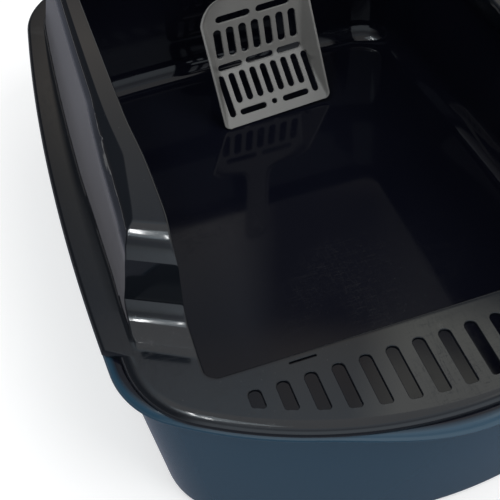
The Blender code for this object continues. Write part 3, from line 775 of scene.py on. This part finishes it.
def rimStations():
    # plan lines round the box, each from the outer edge to the opening
    edgePlan = planOutline(
        tub["lipFrontBow"], rim["edgeFrontY"], box["skirtHalfWidth"] - rim["edgeSideStep"], box["halfLength"],
        rim["edgeFrontCorner"], box["rearCorner"], rim["edgeSideStep"],
    )
    skirtPlan = planOutline(
        tub["lipFrontBow"], rim["edgeFrontY"], box["skirtHalfWidth"], box["halfLength"],
        rim["edgeFrontCorner"], box["rearCorner"], 0.0,
    )
    halfOpen, cornerIn, cornerBack = rim["openingHalfWidth"], rim["openingFrontCorner"], rim["openingRearCorner"]
    shortBottom = tub["lipTop"] + box["gap"] - box["stepHeight"]
    waist = monotone([p[0] for p in rim["openingWaist"]], [p[1] for p in rim["openingWaist"]])
    found = []

    def add(spotOut, inner, skirted, blend, rise=0.0, hidden=0.0, bottom=None):
        edge, out = spotOut
        if blend == 1.0 and inner.y < rim["openingRearY"] - cornerBack:
            inner.x += waist(inner.y)
        found.append({
            "edge": edge, "out": out, "inner": inner, "skirted": skirted, "blend": blend,
            "rise": rise, "hidden": hidden,
            "flange": edge if skirted else edge + out * rim["edgeSideStep"],
            "bottom": -rim["skirtDrop"] if bottom is None else bottom,
            "rounding": rim["skirtRounding"] if skirted else rim["edgeRounding"],
        })

    turns = edgePlan["turns"]
    for k, spot in enumerate(arcPoints(edgePlan["arcs"][0], turns[0], turns[1], 80)):
        add(spot, Vector(((halfOpen - cornerIn) * k / 80, rim["openingFrontY"])), False, 0.0, bottom=shortBottom)
    for k, spot in enumerate(arcPoints(edgePlan["arcs"][1], turns[1], turns[2], 30)):
        turn = -pi / 2 * (1 - k / 30)
        middle = Vector((halfOpen - cornerIn, rim["openingFrontY"] + cornerIn))
        inner = middle + Vector((cos(turn), sin(turn))) * cornerIn
        inner.x += waist(inner.y) * k / 30
        add(spot, inner, False, k / 30.001, bottom=shortBottom)
    # the notch, where the rim steps out over the lip and its skirt begins
    notch, notchIn, step, ramp = rim["notchY"], rim["notchInnerY"], rim["notchLength"], rim["notchRamp"]
    add(sidePoint(edgePlan, notch - rim["notchLag"]), Vector((halfOpen, notchIn)), False, 1.0, bottom=shortBottom)
    found[-1]["flange"] = sidePoint(skirtPlan, notch)[0]
    add(sidePoint(skirtPlan, notch + ramp), Vector((halfOpen, notchIn + step)), True, 1.0, bottom=shortBottom)
    add(sidePoint(skirtPlan, notch + ramp + step), Vector((halfOpen, notchIn + step * 2)), True, 1.0)
    across = box["skirtHalfWidth"] - halfOpen
    start = notchIn + step * 2
    startLag = notch + ramp + step - start
    for innerY, height in wingPath():
        rise = height / box["guardRise"]
        hidden = wingRise(innerY - rim["wingWall"])
        lag = startLag + (rim["wingSlant"] * across - startLag) * min((innerY - start) / rim["wingLagLength"], 1.0)
        add(sidePoint(skirtPlan, innerY + lag), Vector((halfOpen, innerY)), True, 1.0, rise, hidden)
    sideEnd = skirtPlan["arcs"][2][0].y + skirtPlan["arcs"][2][1] * sin(skirtPlan["turns"][3])
    innerEnd = rim["openingRearY"] - cornerBack
    innerStart = wingPath()[-1][0]
    outerStart = innerStart + rim["wingSlant"] * across
    for k in range(1, 61):
        outerY = outerStart + (sideEnd - outerStart) * k / 61
        inner = Vector((halfOpen, innerStart + (innerEnd - innerStart) * k / 61))
        add(sidePoint(skirtPlan, outerY), inner, True, 1.0, 1.0, 1.0)
    turns = skirtPlan["turns"]
    for k, spot in enumerate(arcPoints(skirtPlan["arcs"][3], turns[3], turns[4], 40)):
        turn = pi / 2 * k / 40
        inner = Vector((halfOpen - cornerBack, innerEnd)) + Vector((cos(turn), sin(turn))) * cornerBack
        add(spot, inner, True, 1.0, 1.0, 1.0)
    for k, spot in enumerate(arcPoints(skirtPlan["arcs"][4], turns[4], pi / 2, 40, True)):
        add(spot, Vector(((halfOpen - cornerBack) * (1 - k / 40), rim["openingRearY"])), True, 1.0, 1.0, 1.0)
    return found


def guardPath(innerY):
    # the guard's wall and crest, blended between three sections along the box
    where = rim["guardWhere"]
    if innerY <= where[1]:
        column, blend = 1, min(max((innerY - where[0]) / (where[1] - where[0]), 0.0), 1.0)
    else:
        column, blend = 2, min((innerY - where[1]) / (where[2] - where[1]), 1.0)
    rows = [(row[column] + (row[column + 1] - row[column]) * blend, row[0]) for row in rim["guardCurve"]]
    return rows


def alongGuard(rows, rise, rounding, steps):
    # points up the wall to the strip's edge, the edge itself slightly rounded
    kept = [rows[0]]
    for near, far in zip(rows[:-1], rows[1:]):
        if far[1] >= rise:
            share = (rise - near[1]) / (far[1] - near[1])
            kept.append((near[0] + (far[0] - near[0]) * share, rise))
            break
        kept.append(far)
    spread = rim["lowSpread"] * max(1.0 - rise / rim["lowSpreadTo"], 0.0)
    reach = [0.0]
    for (x0, y0), (x1, y1) in zip(kept[:-1], kept[1:]):
        reach.append(reach[-1] + hypot(x1 - x0, y1 - y0))
    last = max(reach[-1] - rounding, reach[-1] / 2)
    found = []
    for k in range(steps + 1):
        stop = last * k / steps
        n = max(i for i in range(len(kept) - 1) if reach[i] <= stop)
        share = (stop - reach[n]) / max(reach[n + 1] - reach[n], 1e-9)
        found.append(tuple(kept[n][i] + (kept[n + 1][i] - kept[n][i]) * share for i in (0, 1)))
    found = [(share + spread * k / steps, height) for k, (share, height) in enumerate(found)]
    if rounding:
        start, corner = found[-1], (kept[-1][0] + spread, rise)
        finish = (corner[0] + rounding, rise)
        for k in range(1, 7):
            t = k / 6
            found.append(tuple(
                start[i] * (1 - t) ** 2 + corner[i] * 2 * t * (1 - t) + finish[i] * t ** 2 for i in (0, 1)
            ))
    return found


def rimSection(place):
    # closed section: down the outer edge, over the top, round the opening's edge, back underneath
    edge, out, inner, flange = place["edge"], place["out"], place["inner"], place["flange"]
    rounding = place["rounding"]
    fromEdge = (inner - edge).normalized()
    wall, lipRound, rise = box["wall"], rim["openingRounding"], box["guardRise"]

    # where the edge rolls down broadly the flat part starts further in; at the side all of it runs slanted
    flatAt, shift, deep = rim["flatInset"], 0.0, max((flange - inner).dot(out), 0.001)
    inward = (inner - flange) / deep
    if not place["skirted"]:
        flatAt = max(flatAt, rim["edgeSideStep"] + rounding + rim["flatClear"])
        shift = max((flatAt + rim["rollClear"]) / deep - rim["guardCurve"][0][1], 0.0)
        inward = (-out).lerp(inward, place["blend"] ** 4)

    def across(share):
        sided = flange + (inner - flange) * (share + shift * (1 - share))
        bunched = lipRound + rim["edgeFlatInset"] * (1 - share) / (1 - rim["guardCurve"][0][1])
        return (inner - fromEdge * bunched).lerp(sided, place["blend"])

    section = [(edge, place["bottom"])]
    reach = min(rounding, rim["rollDrop"])
    for up, run in quarterTurn(9):
        section.append((edge + inward * rounding * (1 - run), -reach * (1 - up)))
    section.append(((edge + fromEdge * rim["edgeFlatInset"]).lerp(flange + inward * flatAt, place["blend"]), 0.0))
    top, hiddenTop = rise * place["rise"], rise * place["hidden"]
    rows, strip = guardPath(inner.y), rim["stripEdge"] / box["guardRise"]
    paintedReflection = [0.0] * len(section)
    for k, (share, height) in enumerate(alongGuard(rows, place["rise"], strip, 40)):
        section.append((across(share), height * rise))
        # painted reflection: how strongly this point of the guard's outer wall takes the lighter colour
        dull = min(max((rim["paintedReflectionTo"] - height) / rim["paintedReflectionFade"] + 0.5, 0.0), 1.0)
        paintedReflection.append(dull if height > rim["paintedReflectionFrom"] and k < 40 else 0.0)
    stripStart = section[-1][0]
    for k in range(1, 8):
        section.append((stripStart.lerp(inner - fromEdge * lipRound * 1.5, k / 8), top))
    for up, run in quarterTurn(6):
        section.append((inner - fromEdge * lipRound * (1 - up), top - lipRound * (1 - run)))
    section.append((inner, top - rim["openingTurnDown"]))
    section.append((inner - fromEdge * wall, top - rim["openingTurnDown"]))
    section.append((inner - fromEdge * wall, hiddenTop - wall))
    for share, height in alongGuard(rows, place["hidden"], 0.0, 12)[::-1]:
        section.append((across(share + rim["hiddenShare"]), height * rise - wall))
    under = edge + fromEdge * (rim["edgeFlatInset"] - lipRound)
    section.append((under.lerp(flange + inward * (rim["flatInset"] - lipRound), place["blend"]), -wall))
    section.append((edge + inward * wall, -wall * 4 / 3))
    section.append((edge + inward * wall, place["bottom"]))
    paintedReflection += [0.0] * (len(section) - len(paintedReflection))
    return [Vector((spot.x, spot.y, box["stepHeight"] + height)) for spot, height in section], paintedReflection


def slotLoop(middle, grow):
    # outline of one slot of the step: round at the back, small corners on a curved front line
    half, corner = rim["slotWidth"] / 2 + grow, rim["slotCorner"] + grow
    top = rim["slotTopY"] - rim["slotWidth"] / 2
    loop = []
    for k in range(17):
        turn = pi * k / 16
        loop.append((middle + half * cos(turn), top + half * sin(turn)))
    for side, start in ((-1, pi), (1, pi * 1.5)):
        x = middle + side * (half - corner)
        bow = rim["slotBottomBow"]
        foot = rim["slotBottomY"] + bow - sqrt(bow ** 2 - x ** 2) - grow
        for k in range(7):
            turn = start + pi / 2 * k / 6
            loop.append((x + corner * cos(turn), foot + corner + corner * sin(turn)))
    return loop


def slitLoop(middle, grow):
    half, reach = rim["slitWidth"] / 2 + grow, (rim["slitLength"] - rim["slitWidth"]) / 2
    return [(middle + x, rim["slitY"] + half * share) for x, share in roundSlot(reach, half)]


def buildRim():
    places = rimStations()
    right = [rimSection(place) for place in places]
    left = [([Vector((-p.x, p.y, p.z)) for p in section], paintedReflection) for section, paintedReflection in right[1:-1]]
    whole = right + left[::-1]
    piece = loftPiece("guardRimShell", [section for section, paintedReflection in whole], closed=True)
    # mask of the painted reflection on the guard's outer walls
    mask = piece.data.attributes.new("paintedReflection", "FLOAT", "POINT")
    mask.data.foreach_set("value", [value for section, paintedReflection in whole for value in paintedReflection])
    cutters, count = bmesh.new(), rim["slotCount"]
    cuts = [(slotLoop, (k - (count - 1) / 2) * rim["slotPitch"], rim["slotFlare"]) for k in range(count)]
    cuts += [(slitLoop, side * rim["slitX"], rim["slitFlare"]) for side in (-1, 1)]
    for loopAt, middle, flare in cuts:
        layers = flaredLayers(box["stepHeight"], flare, rim["cutBelow"], rim["cutAbove"], 8)
        rings = [[(x, y, z) for x, y in loopAt(middle, grow)] for grow, z in layers]
        skinRings(cutters, rings, capped=True)
    cutWith(piece, pieceFrom(cutters, "slotCutter"))
    smoothFaces(piece, 34)
    return piece


finishPiece(buildRim(), "guard_rim", "rim", mouldedPlastic("rimBlackGloss", rimLook))

# Scoop, drawn flat: X across, Y up the pan, Z out of its open front
scoop = {
    "length": 0.1228,
    "bend": 0.0523,
    "bendSoftness": 0.0007,
    "depth": 0.02255,
    "halfWidth": 0.0535,
    "wall": 0.0022,
    "edgeDepth": 0.0008,
    "edgeThickness": 0.0012,
    "topDepth": 0.0016,
    "cornerFill": 0.0030,
    "draft": 0.44,
    "rimRounding": 0.0009,
    "outlineCurve": [
        (0.0, 0.915), (0.012, 0.965), (0.040, 1.0), (0.160, 1.0), (0.290, 1.0), (0.405, 1.0), (0.426, 1.0),
        (0.447, 1.0), (0.570, 1.0), (0.690, 1.0), (0.800, 1.0), (0.850, 0.960), (0.890, 0.900), (0.925, 0.825),
        (0.952, 0.735), (0.970, 0.620), (0.982, 0.500), (0.993, 0.395),
    ],
    "handleHalfWidth": 0.013,
    "handleLength": 0.110,
    "handleThickness": 0.0040,
    "handleEase": 0.12,
    "handleCurve": [
        (0.015, 1.26), (0.055, 1.08), (0.12, 1.0), (0.30, 0.96), (0.60, 1.0), (0.84, 1.08), (0.92, 1.02),
        (0.965, 0.82), (0.990, 0.52), (1.0, 0.30),
    ],
    "x": 0.0167,
    "yaw": 2.6,
    "lean": 65.25,
    "roll": 2.3,
    "handleLean": 87.2,
    # the round hole: up the plate, upright, length, width
    "dot": (0.0126, True, 0.0050, 0.0050),
    # length, width
    "bendMiddleSlot": (0.0275, 0.0058),
    "hangHole": (0.016, 0.008),
    "hangDrop": 0.018,
    # one on each side: plate, across, up, length, width
    "sideSlots": [
        ("low", 0.0215, 0.0118, 0.0262, 0.0054),
        ("bend", 0.0297, 0.0, 0.0240, 0.0058),
        ("high", 0.0196, 0.0490, 0.0335, 0.0074),
    ],
    "slotRows": {
        "low": {
            "eachSide": 4, "pitch": 0.0105, "width": 0.0060, "bottom": 0.0206, "outerBottom": 0.0095, "top": 0.0496,
        },
        "high": {
            "eachSide": 3, "pitch": 0.0123, "width": 0.0074, "bottom": 0.0090, "outerBottom": 0.0090, "top": 0.0398,
        },
    },
    "slotFlare": 0.0005,
    "cutBelow": 0.009,
    "cutAbove": 0.004,
    "bendCutAbove": 0.0044,
}
scoopLook = {
    "colour": (0.260, 0.257, 0.248),
    "drift": (0.230, 0.228, 0.222),
    "driftScale": 14.0,
    "worn": (0.300, 0.295, 0.280),
    "wear": 0.45,
    "wearStart": 0.52,
    "wearEnd": 0.60,
    "lint": (0.40, 0.39, 0.37),
    "dust": 0.30,
    "dustScale": 380.0,
    "dustSize": 0.10,
    "clean": 0.30,
    "dull": 0.46,
    "smudgeScale": 16.0,
    "scratches": 0.5,
    "scratchScale": 45.0,
    "wave": 0.5,
    "grain": 0.22,
    "grainScale": 2200.0,
    "bump": 0.40,
    "ior": 1.49,
}


def scoopSection(halfWidth, depth, plate):
    # channel: right wall, underneath, left wall, then the inside, all edges rounded
    draft, wall = scoop["draft"], min(scoop["wall"], halfWidth / 3)
    fill = min(scoop["cornerFill"], depth / 2)
    edge = scoop["rimRounding"]
    half = [
        (halfWidth - edge * 0.3, -edge * 0.3 * 0.5),
        (halfWidth, -edge),
        (halfWidth - draft * depth * 0.5, -depth * 0.5 - edge * 0.5),
        (halfWidth - draft * depth, -depth),
        (halfWidth - draft * depth - plate * 0.35, -depth - plate * 0.65),
        (halfWidth - draft * depth - plate, -depth - plate),
    ]
    floorEdge = halfWidth - wall - draft * depth
    inside = [(floorEdge - fill, -depth)]
    for k in range(1, 6):
        t = k / 6
        low, mid, high = (floorEdge - fill, -depth), (floorEdge, -depth), (floorEdge + draft * fill, fill - depth)
        inside.append((
            low[0] * (1 - t) ** 2 + mid[0] * 2 * t * (1 - t) + high[0] * t ** 2,
            low[1] * (1 - t) ** 2 + mid[1] * 2 * t * (1 - t) + high[1] * t ** 2,
        ))
    inside += [
        (floorEdge + draft * fill, fill - depth),
        (halfWidth - wall - draft * edge, -edge),
        (halfWidth - wall + edge * 0.3, -edge * 0.3 * 0.5),
        (halfWidth - wall / 2, 0.0),
    ]
    outer = half + [(-x, z) for x, z in half[::-1]]
    return outer + [(-x, z) for x, z in inside[::-1]] + inside


def buildScoop():
    length, bend, depth = scoop["length"], scoop["bend"], scoop["depth"]
    bendIn = radians(scoop["handleLean"] - scoop["lean"])

    def floorDepth(along):
        # two plates meeting in a short rounded bend
        low = scoop["edgeDepth"] + (depth - scoop["edgeDepth"]) * along / bend
        high = depth + (scoop["topDepth"] - depth) * min((along - bend) / (length - bend), 1.0)
        soft = scoop["bendSoftness"]
        return min(max((low + high) / 2 - sqrt(((low - high) / 2) ** 2 + soft ** 2), scoop["edgeDepth"]), depth)

    rings = []
    for share, widthShare in smoothPath(scoop["outlineCurve"], 110):
        along = share * length
        plate = scoop["wall"]
        if along < bend / 4:
            plate = scoop["edgeThickness"] + (plate - scoop["edgeThickness"]) * along / (bend / 4)
        section = scoopSection(scoop["halfWidth"] * widthShare, floorDepth(along), plate)
        rings.append([Vector((x, along, z)) for x, z in section])
    handleUp = Vector((0.0, cos(bendIn), sin(bendIn)))
    handleStart = Vector((0.0, length, 0.0))
    for share, widthShare in smoothPath(scoop["handleCurve"], 90):
        ease = min(share / scoop["handleEase"], 1.0)
        turned = bendIn * (0.5 + ease / 2)
        front = Vector((0.0, -sin(turned), cos(turned)))
        plate = scoop["wall"] + (scoop["handleThickness"] - scoop["wall"]) * ease
        middle = handleStart + handleUp * scoop["handleLength"] * share
        section = scoopSection(scoop["handleHalfWidth"] * widthShare, scoop["topDepth"], plate)
        rings.append([middle + Vector((x, 0.0, 0.0)) + front * z for x, z in section])
    piece = loftPiece("scoopShell", rings, capped=True)
    lowAngle = atan2(depth - scoop["edgeDepth"], bend)
    highAngle = atan2(depth - scoop["topDepth"], length - bend)
    plates = {
        "low": (Vector((0.0, 0.0, -scoop["edgeDepth"])), Vector((0.0, cos(lowAngle), -sin(lowAngle)))),
        "bend": (Vector((0.0, bend, -depth)), Vector((0.0, 1.0, 0.0))),
        "high": (Vector((0.0, bend, -depth)), Vector((0.0, cos(highAngle), sin(highAngle)))),
        "handle": (handleStart, handleUp),
    }
    # plate, middle across, middle up, upright, length, width
    slots = [("low", 0.0, *scoop["dot"]), ("bend", 0.0, 0.0, False, *scoop["bendMiddleSlot"])]
    for side in (-1, 1):
        for plate, across, up, slotLength, slotWidth in scoop["sideSlots"]:
            slots.append((plate, side * across, up, False, slotLength, slotWidth))
    for plate, row in scoop["slotRows"].items():
        for k in range(-row["eachSide"], row["eachSide"] + 1):
            bottom = row["outerBottom"] if abs(k) == row["eachSide"] else row["bottom"]
            span = row["top"] - bottom
            slots.append((plate, k * row["pitch"], (bottom + row["top"]) / 2, True, span, row["width"]))
    slots.append(("handle", 0.0, scoop["handleLength"] - scoop["hangDrop"], True, *scoop["hangHole"]))
    cutters, acrossPan = bmesh.new(), Vector((1.0, 0.0, 0.0))
    for plate, across, up, upright, slotLength, slotWidth in slots:
        corner, upPlate = plates[plate]
        through = acrossPan.cross(upPlate)
        along, aside = (upPlate, acrossPan) if upright else (acrossPan, upPlate)
        centre = corner + acrossPan * across + upPlate * up
        if plate == "handle":
            centre = centre - through * scoop["topDepth"]
        above = scoop["bendCutAbove"] if plate == "bend" else scoop["cutAbove"]
        rings = []
        for grow, height in flaredLayers(0.0, scoop["slotFlare"], scoop["cutBelow"], above, 6):
            half = slotWidth / 2 + grow
            loop = roundSlot((slotLength - slotWidth) / 2, half)
            rings.append([centre + along * x + aside * half * share + through * height for x, share in loop])
        skinRings(cutters, rings, capped=True)
    cutWith(piece, pieceFrom(cutters, "scoopCutter"))
    # stand it on the floor, leaning on the guard's back lip
    turned = (
        Matrix.Rotation(radians(scoop["yaw"]), 4, "Z")
        @ Matrix.Rotation(radians(scoop["lean"]), 4, "X")
        @ Matrix.Rotation(radians(scoop["roll"]), 4, "Z")
    )
    piece.data.transform(turned)
    low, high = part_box("scoop")
    found = [v.co for v in piece.data.vertices]
    shift = Vector((scoop["x"], high.y - max(p.y for p in found), low.z - min(p.z for p in found)))
    piece.data.transform(Matrix.Translation(shift))
    smoothFaces(piece, 36)
    return piece


finishPiece(buildScoop(), "scoop", "loose_scoop", mouldedPlastic("scoopGreySatin", scoopLook))

# Studio: floor, world, a cloth tent that only reflections see, lamps
studio = {
    "floorColour": (0.80, 0.80, 0.80),
    "floorSize": 14.0,
    "floorLift": 0.45,
    "skyLevel": 0.55,
    "tentRadius": 2.1,
    "tentMiddle": 0.15,
    "tentOpening": 64.0,
    # elevation in degrees, then the cloth's colour there to the left, ahead, to the right, in front and far left
    "tentCloth": [
        (0.0, (0.10, 0.10, 0.11), (0.50, 0.49, 0.47), (0.65, 0.64, 0.62), (1.00, 1.10, 1.20), (0.14, 0.13, 0.13)),
        (26.0, (0.12, 0.12, 0.13), (0.60, 0.57, 0.52), (0.70, 0.68, 0.64), (1.10, 1.22, 1.32), (0.08, 0.08, 0.08)),
        (36.0, (0.75, 0.68, 0.60), (0.40, 0.37, 0.33), (0.60, 0.56, 0.50), (0.95, 1.05, 1.12), (0.08, 0.08, 0.08)),
        (42.0, (0.55, 0.53, 0.50), (0.08, 0.08, 0.09), (0.20, 0.20, 0.20), (0.55, 0.60, 0.66), (0.09, 0.09, 0.09)),
        (51.5, (0.42, 0.45, 0.50), (0.08, 0.08, 0.09), (0.25, 0.25, 0.25), (0.60, 0.63, 0.68), (0.30, 0.31, 0.33)),
        (55.0, (0.55, 0.54, 0.55), (0.68, 0.62, 0.55), (1.50, 1.50, 1.35), (0.80, 0.84, 0.90), (0.50, 0.50, 0.50)),
        (64.0, (0.80, 0.92, 1.02), (0.85, 0.93, 1.00), (1.50, 1.50, 1.45), (0.80, 0.92, 1.02), (0.80, 0.92, 1.02)),
    ],
    # headings in degrees, clockwise from straight ahead, between which one cloth gives way to the next
    "tentTurns": {
        "toAhead": (12.0, 17.0), "toRight": (27.0, 34.0), "toFront": (125.0, 150.0),
        "pastFront": (-138.0, -112.0), "pastFarLeft": (-12.0, -2.0),
    },
    "sheetColour": (0.17, 0.18, 0.22),
    "sheetLift": 0.0004,
    "tubeTurn": -27.9,
    # name, place, aim (none: straight down), size, power, colour, seen in reflections
    "lamps": [
        ("softKey", (1.0, -1.1, 2.1), (0.0, 0.0, 0.05), (1.6, 1.6), 22.0, (1.0, 1.0, 1.0), False),
        ("overheadBox", (-0.62, -0.16, 2.0), (-0.17, -0.10, 0.15), (0.62, 0.62), 2.8, (0.78, 0.92, 1.0), True),
        ("lampLeft", (-0.616, -0.044, 1.85), None, (0.022, 0.33), 2.0, (1.0, 1.0, 1.0), True),
        ("lampRight", (-0.628, -0.283, 1.85), None, (0.009, 0.30), 0.75, (1.0, 1.0, 1.0), True),
    ],
}


def seenDirectly(tree):
    # 1 for camera, mirror and glass rays, 0 for the soft light on the object
    rays = node(tree, "ShaderNodeLightPath").outputs
    seen = mathNode(tree, "MAXIMUM", rays["Is Camera Ray"], rays["Is Glossy Ray"])
    return mathNode(tree, "MAXIMUM", seen, rays["Is Transmission Ray"])


def buildFloor():
    bpy.ops.mesh.primitive_plane_add(size=studio["floorSize"], location=(0.0, 0.0, 0.0))
    floor = bpy.context.object
    floor.name = "studioFloor"
    material, tree, shader = startMaterial("paleFloor")
    feed(tree, shader["Base Color"], studio["floorColour"])
    feed(tree, shader["Roughness"], 0.9)
    feed(tree, shader["Specular IOR Level"], 0.1)
    feed(tree, shader["Emission Color"], (1.0, 1.0, 1.0))
    feed(tree, shader["Emission Strength"], mathNode(tree, "MULTIPLY", seenDirectly(tree), studio["floorLift"]))
    arrange(tree)
    floor.data.materials.append(material)


def buildWorld():
    world = bpy.data.worlds.new("softSky")
    bpy.context.scene.world = world
    world.use_nodes = True
    tree = world.node_tree
    background = tree.nodes["Background"].inputs
    feed(tree, background["Color"], (1.0, 1.0, 1.0))
    feed(tree, background["Strength"], rangeNode(tree, seenDirectly(tree), 0.0, 1.0, studio["skyLevel"], 1.0))
    arrange(tree)


def roundRing(reach, height):
    turns = [pi * n / 32 for n in range(64)]
    return [Vector((reach * cos(turn), reach * sin(turn), height)) for turn in turns]


def glowMaterial(name):
    # cloth that shows its own even colour and mirrors nothing
    material, tree, shader = startMaterial(name)
    feed(tree, shader["Base Color"], (0.0, 0.0, 0.0))
    feed(tree, shader["Specular IOR Level"], 0.0)
    feed(tree, shader["Emission Strength"], 1.0)
    return material, tree, shader


def addCloth(name, rings, material):
    cloth = loftPiece(name, rings)
    cloth.data.materials.append(material)
    for ray in ("camera", "diffuse", "shadow", "transmission"):
        setattr(cloth, "visible_" + ray, False)


def buildTent():
    # a cloth dome with an open top round the set, as a photographer shades off a bright room
    radius, middle = studio["tentRadius"], studio["tentMiddle"]
    lifts = [radians(studio["tentOpening"] * k / 24) for k in range(25)]
    material, tree, shader = glowMaterial("tentCloth")
    split = node(tree, "ShaderNodeSeparateXYZ")
    feed(tree, split.inputs["Vector"], node(tree, "ShaderNodeNewGeometry").outputs["Position"])
    lift = rangeNode(tree, split.outputs["Z"], middle, middle + radius)
    turn = mathNode(tree, "ARCTAN2", split.outputs["X"], split.outputs["Y"])

    def between(key, start=0.0, end=1.0):
        low, high = studio["tentTurns"][key]
        return rangeNode(tree, turn, radians(low), radians(high), start, end)

    def clothAt(column):
        ramp = node(tree, "ShaderNodeValToRGB")
        elements = ramp.color_ramp.elements
        while len(elements) < len(studio["tentCloth"]):
            elements.new(0.5)
        for element, row in zip(elements, studio["tentCloth"]):
            element.position = sin(radians(row[0]))
            element.color = (*row[column], 1.0)
        feed(tree, ramp.inputs["Fac"], lift)
        return ramp.outputs["Color"]

    colour = clothAt(1)
    shares = [
        between("toAhead"),
        between("toRight"),
        mathNode(tree, "MAXIMUM", between("toFront"), between("pastFront", 1.0, 0.0)),
        mathNode(tree, "MULTIPLY", between("pastFront"), between("pastFarLeft", 1.0, 0.0)),
    ]
    for column, share in enumerate(shares, 2):
        colour = mixColour(tree, share, colour, clothAt(column))
    feed(tree, shader["Roughness"], 1.0)
    feed(tree, shader["Emission Color"], colour)
    arrange(tree)
    rings = [roundRing(radius * cos(rise), middle + radius * sin(rise)) for rise in lifts]
    addCloth("clothTent", rings, material)
    # a grey sheet on the floor does the same from below
    material, tree, shader = glowMaterial("sheetGrey")
    feed(tree, shader["Emission Color"], studio["sheetColour"])
    rings = [roundRing(reach, studio["sheetLift"]) for reach in (0.0001, 0.5, 1.0, radius)]
    addCloth("greySheet", rings, material)


def addLamp(name, place, aim, size, power, colour, seenInGloss):
    lamp = bpy.data.lights.new(name, "AREA")
    lamp.color = colour
    lamp.shape, lamp.size, lamp.size_y, lamp.energy = "RECTANGLE", size[0], size[1], power
    piece = addObject(name, lamp)
    piece.location = place
    if aim is None:
        piece.rotation_euler = (0.0, 0.0, radians(studio["tubeTurn"]))
    else:
        piece.rotation_euler = (Vector(place) - Vector(aim)).to_track_quat("Z", "Y").to_euler()
    piece.visible_glossy = seenInGloss


buildFloor()
buildWorld()
buildTent()
for lamp in studio["lamps"]:
    addLamp(*lamp)
print("studio lit")

# Camera, as the photograph was taken; the photograph is a part of a larger picture, hence the shift
camera = {
    "sensor": 36.0,
    "pixels": 500,
    "focal": 1052.1,
    "pitch": 43.61,
    "yaw": 20.24,
    "roll": -0.58,
    "place": (-0.2232, -0.5532, 0.6599),
    "shift": (-0.10, -0.18),
}


def buildCamera():
    pitch, yaw, roll = (radians(camera[key]) for key in ("pitch", "yaw", "roll"))
    ahead = Vector((sin(yaw) * cos(pitch), cos(yaw) * cos(pitch), -sin(pitch)))
    right = Vector((cos(yaw), -sin(yaw), 0.0))
    up = right.cross(ahead)
    across = right * cos(roll) + up * sin(roll)
    upright = up * cos(roll) - right * sin(roll)
    data = bpy.data.cameras.new("photoCamera")
    data.sensor_width = camera["sensor"]
    data.lens = camera["focal"] * camera["sensor"] / camera["pixels"]
    data.shift_x, data.shift_y = camera["shift"]
    data.clip_start, data.clip_end = 0.05, 30.0
    piece = addObject("photoCamera", data)
    axes = Matrix((across, upright, -ahead)).transposed().to_4x4()
    piece.matrix_world = Matrix.Translation(camera["place"]) @ axes
    bpy.context.scene.camera = piece


buildCamera()
bpy.context.scene.view_settings.view_transform = "Standard"
print("camera set")
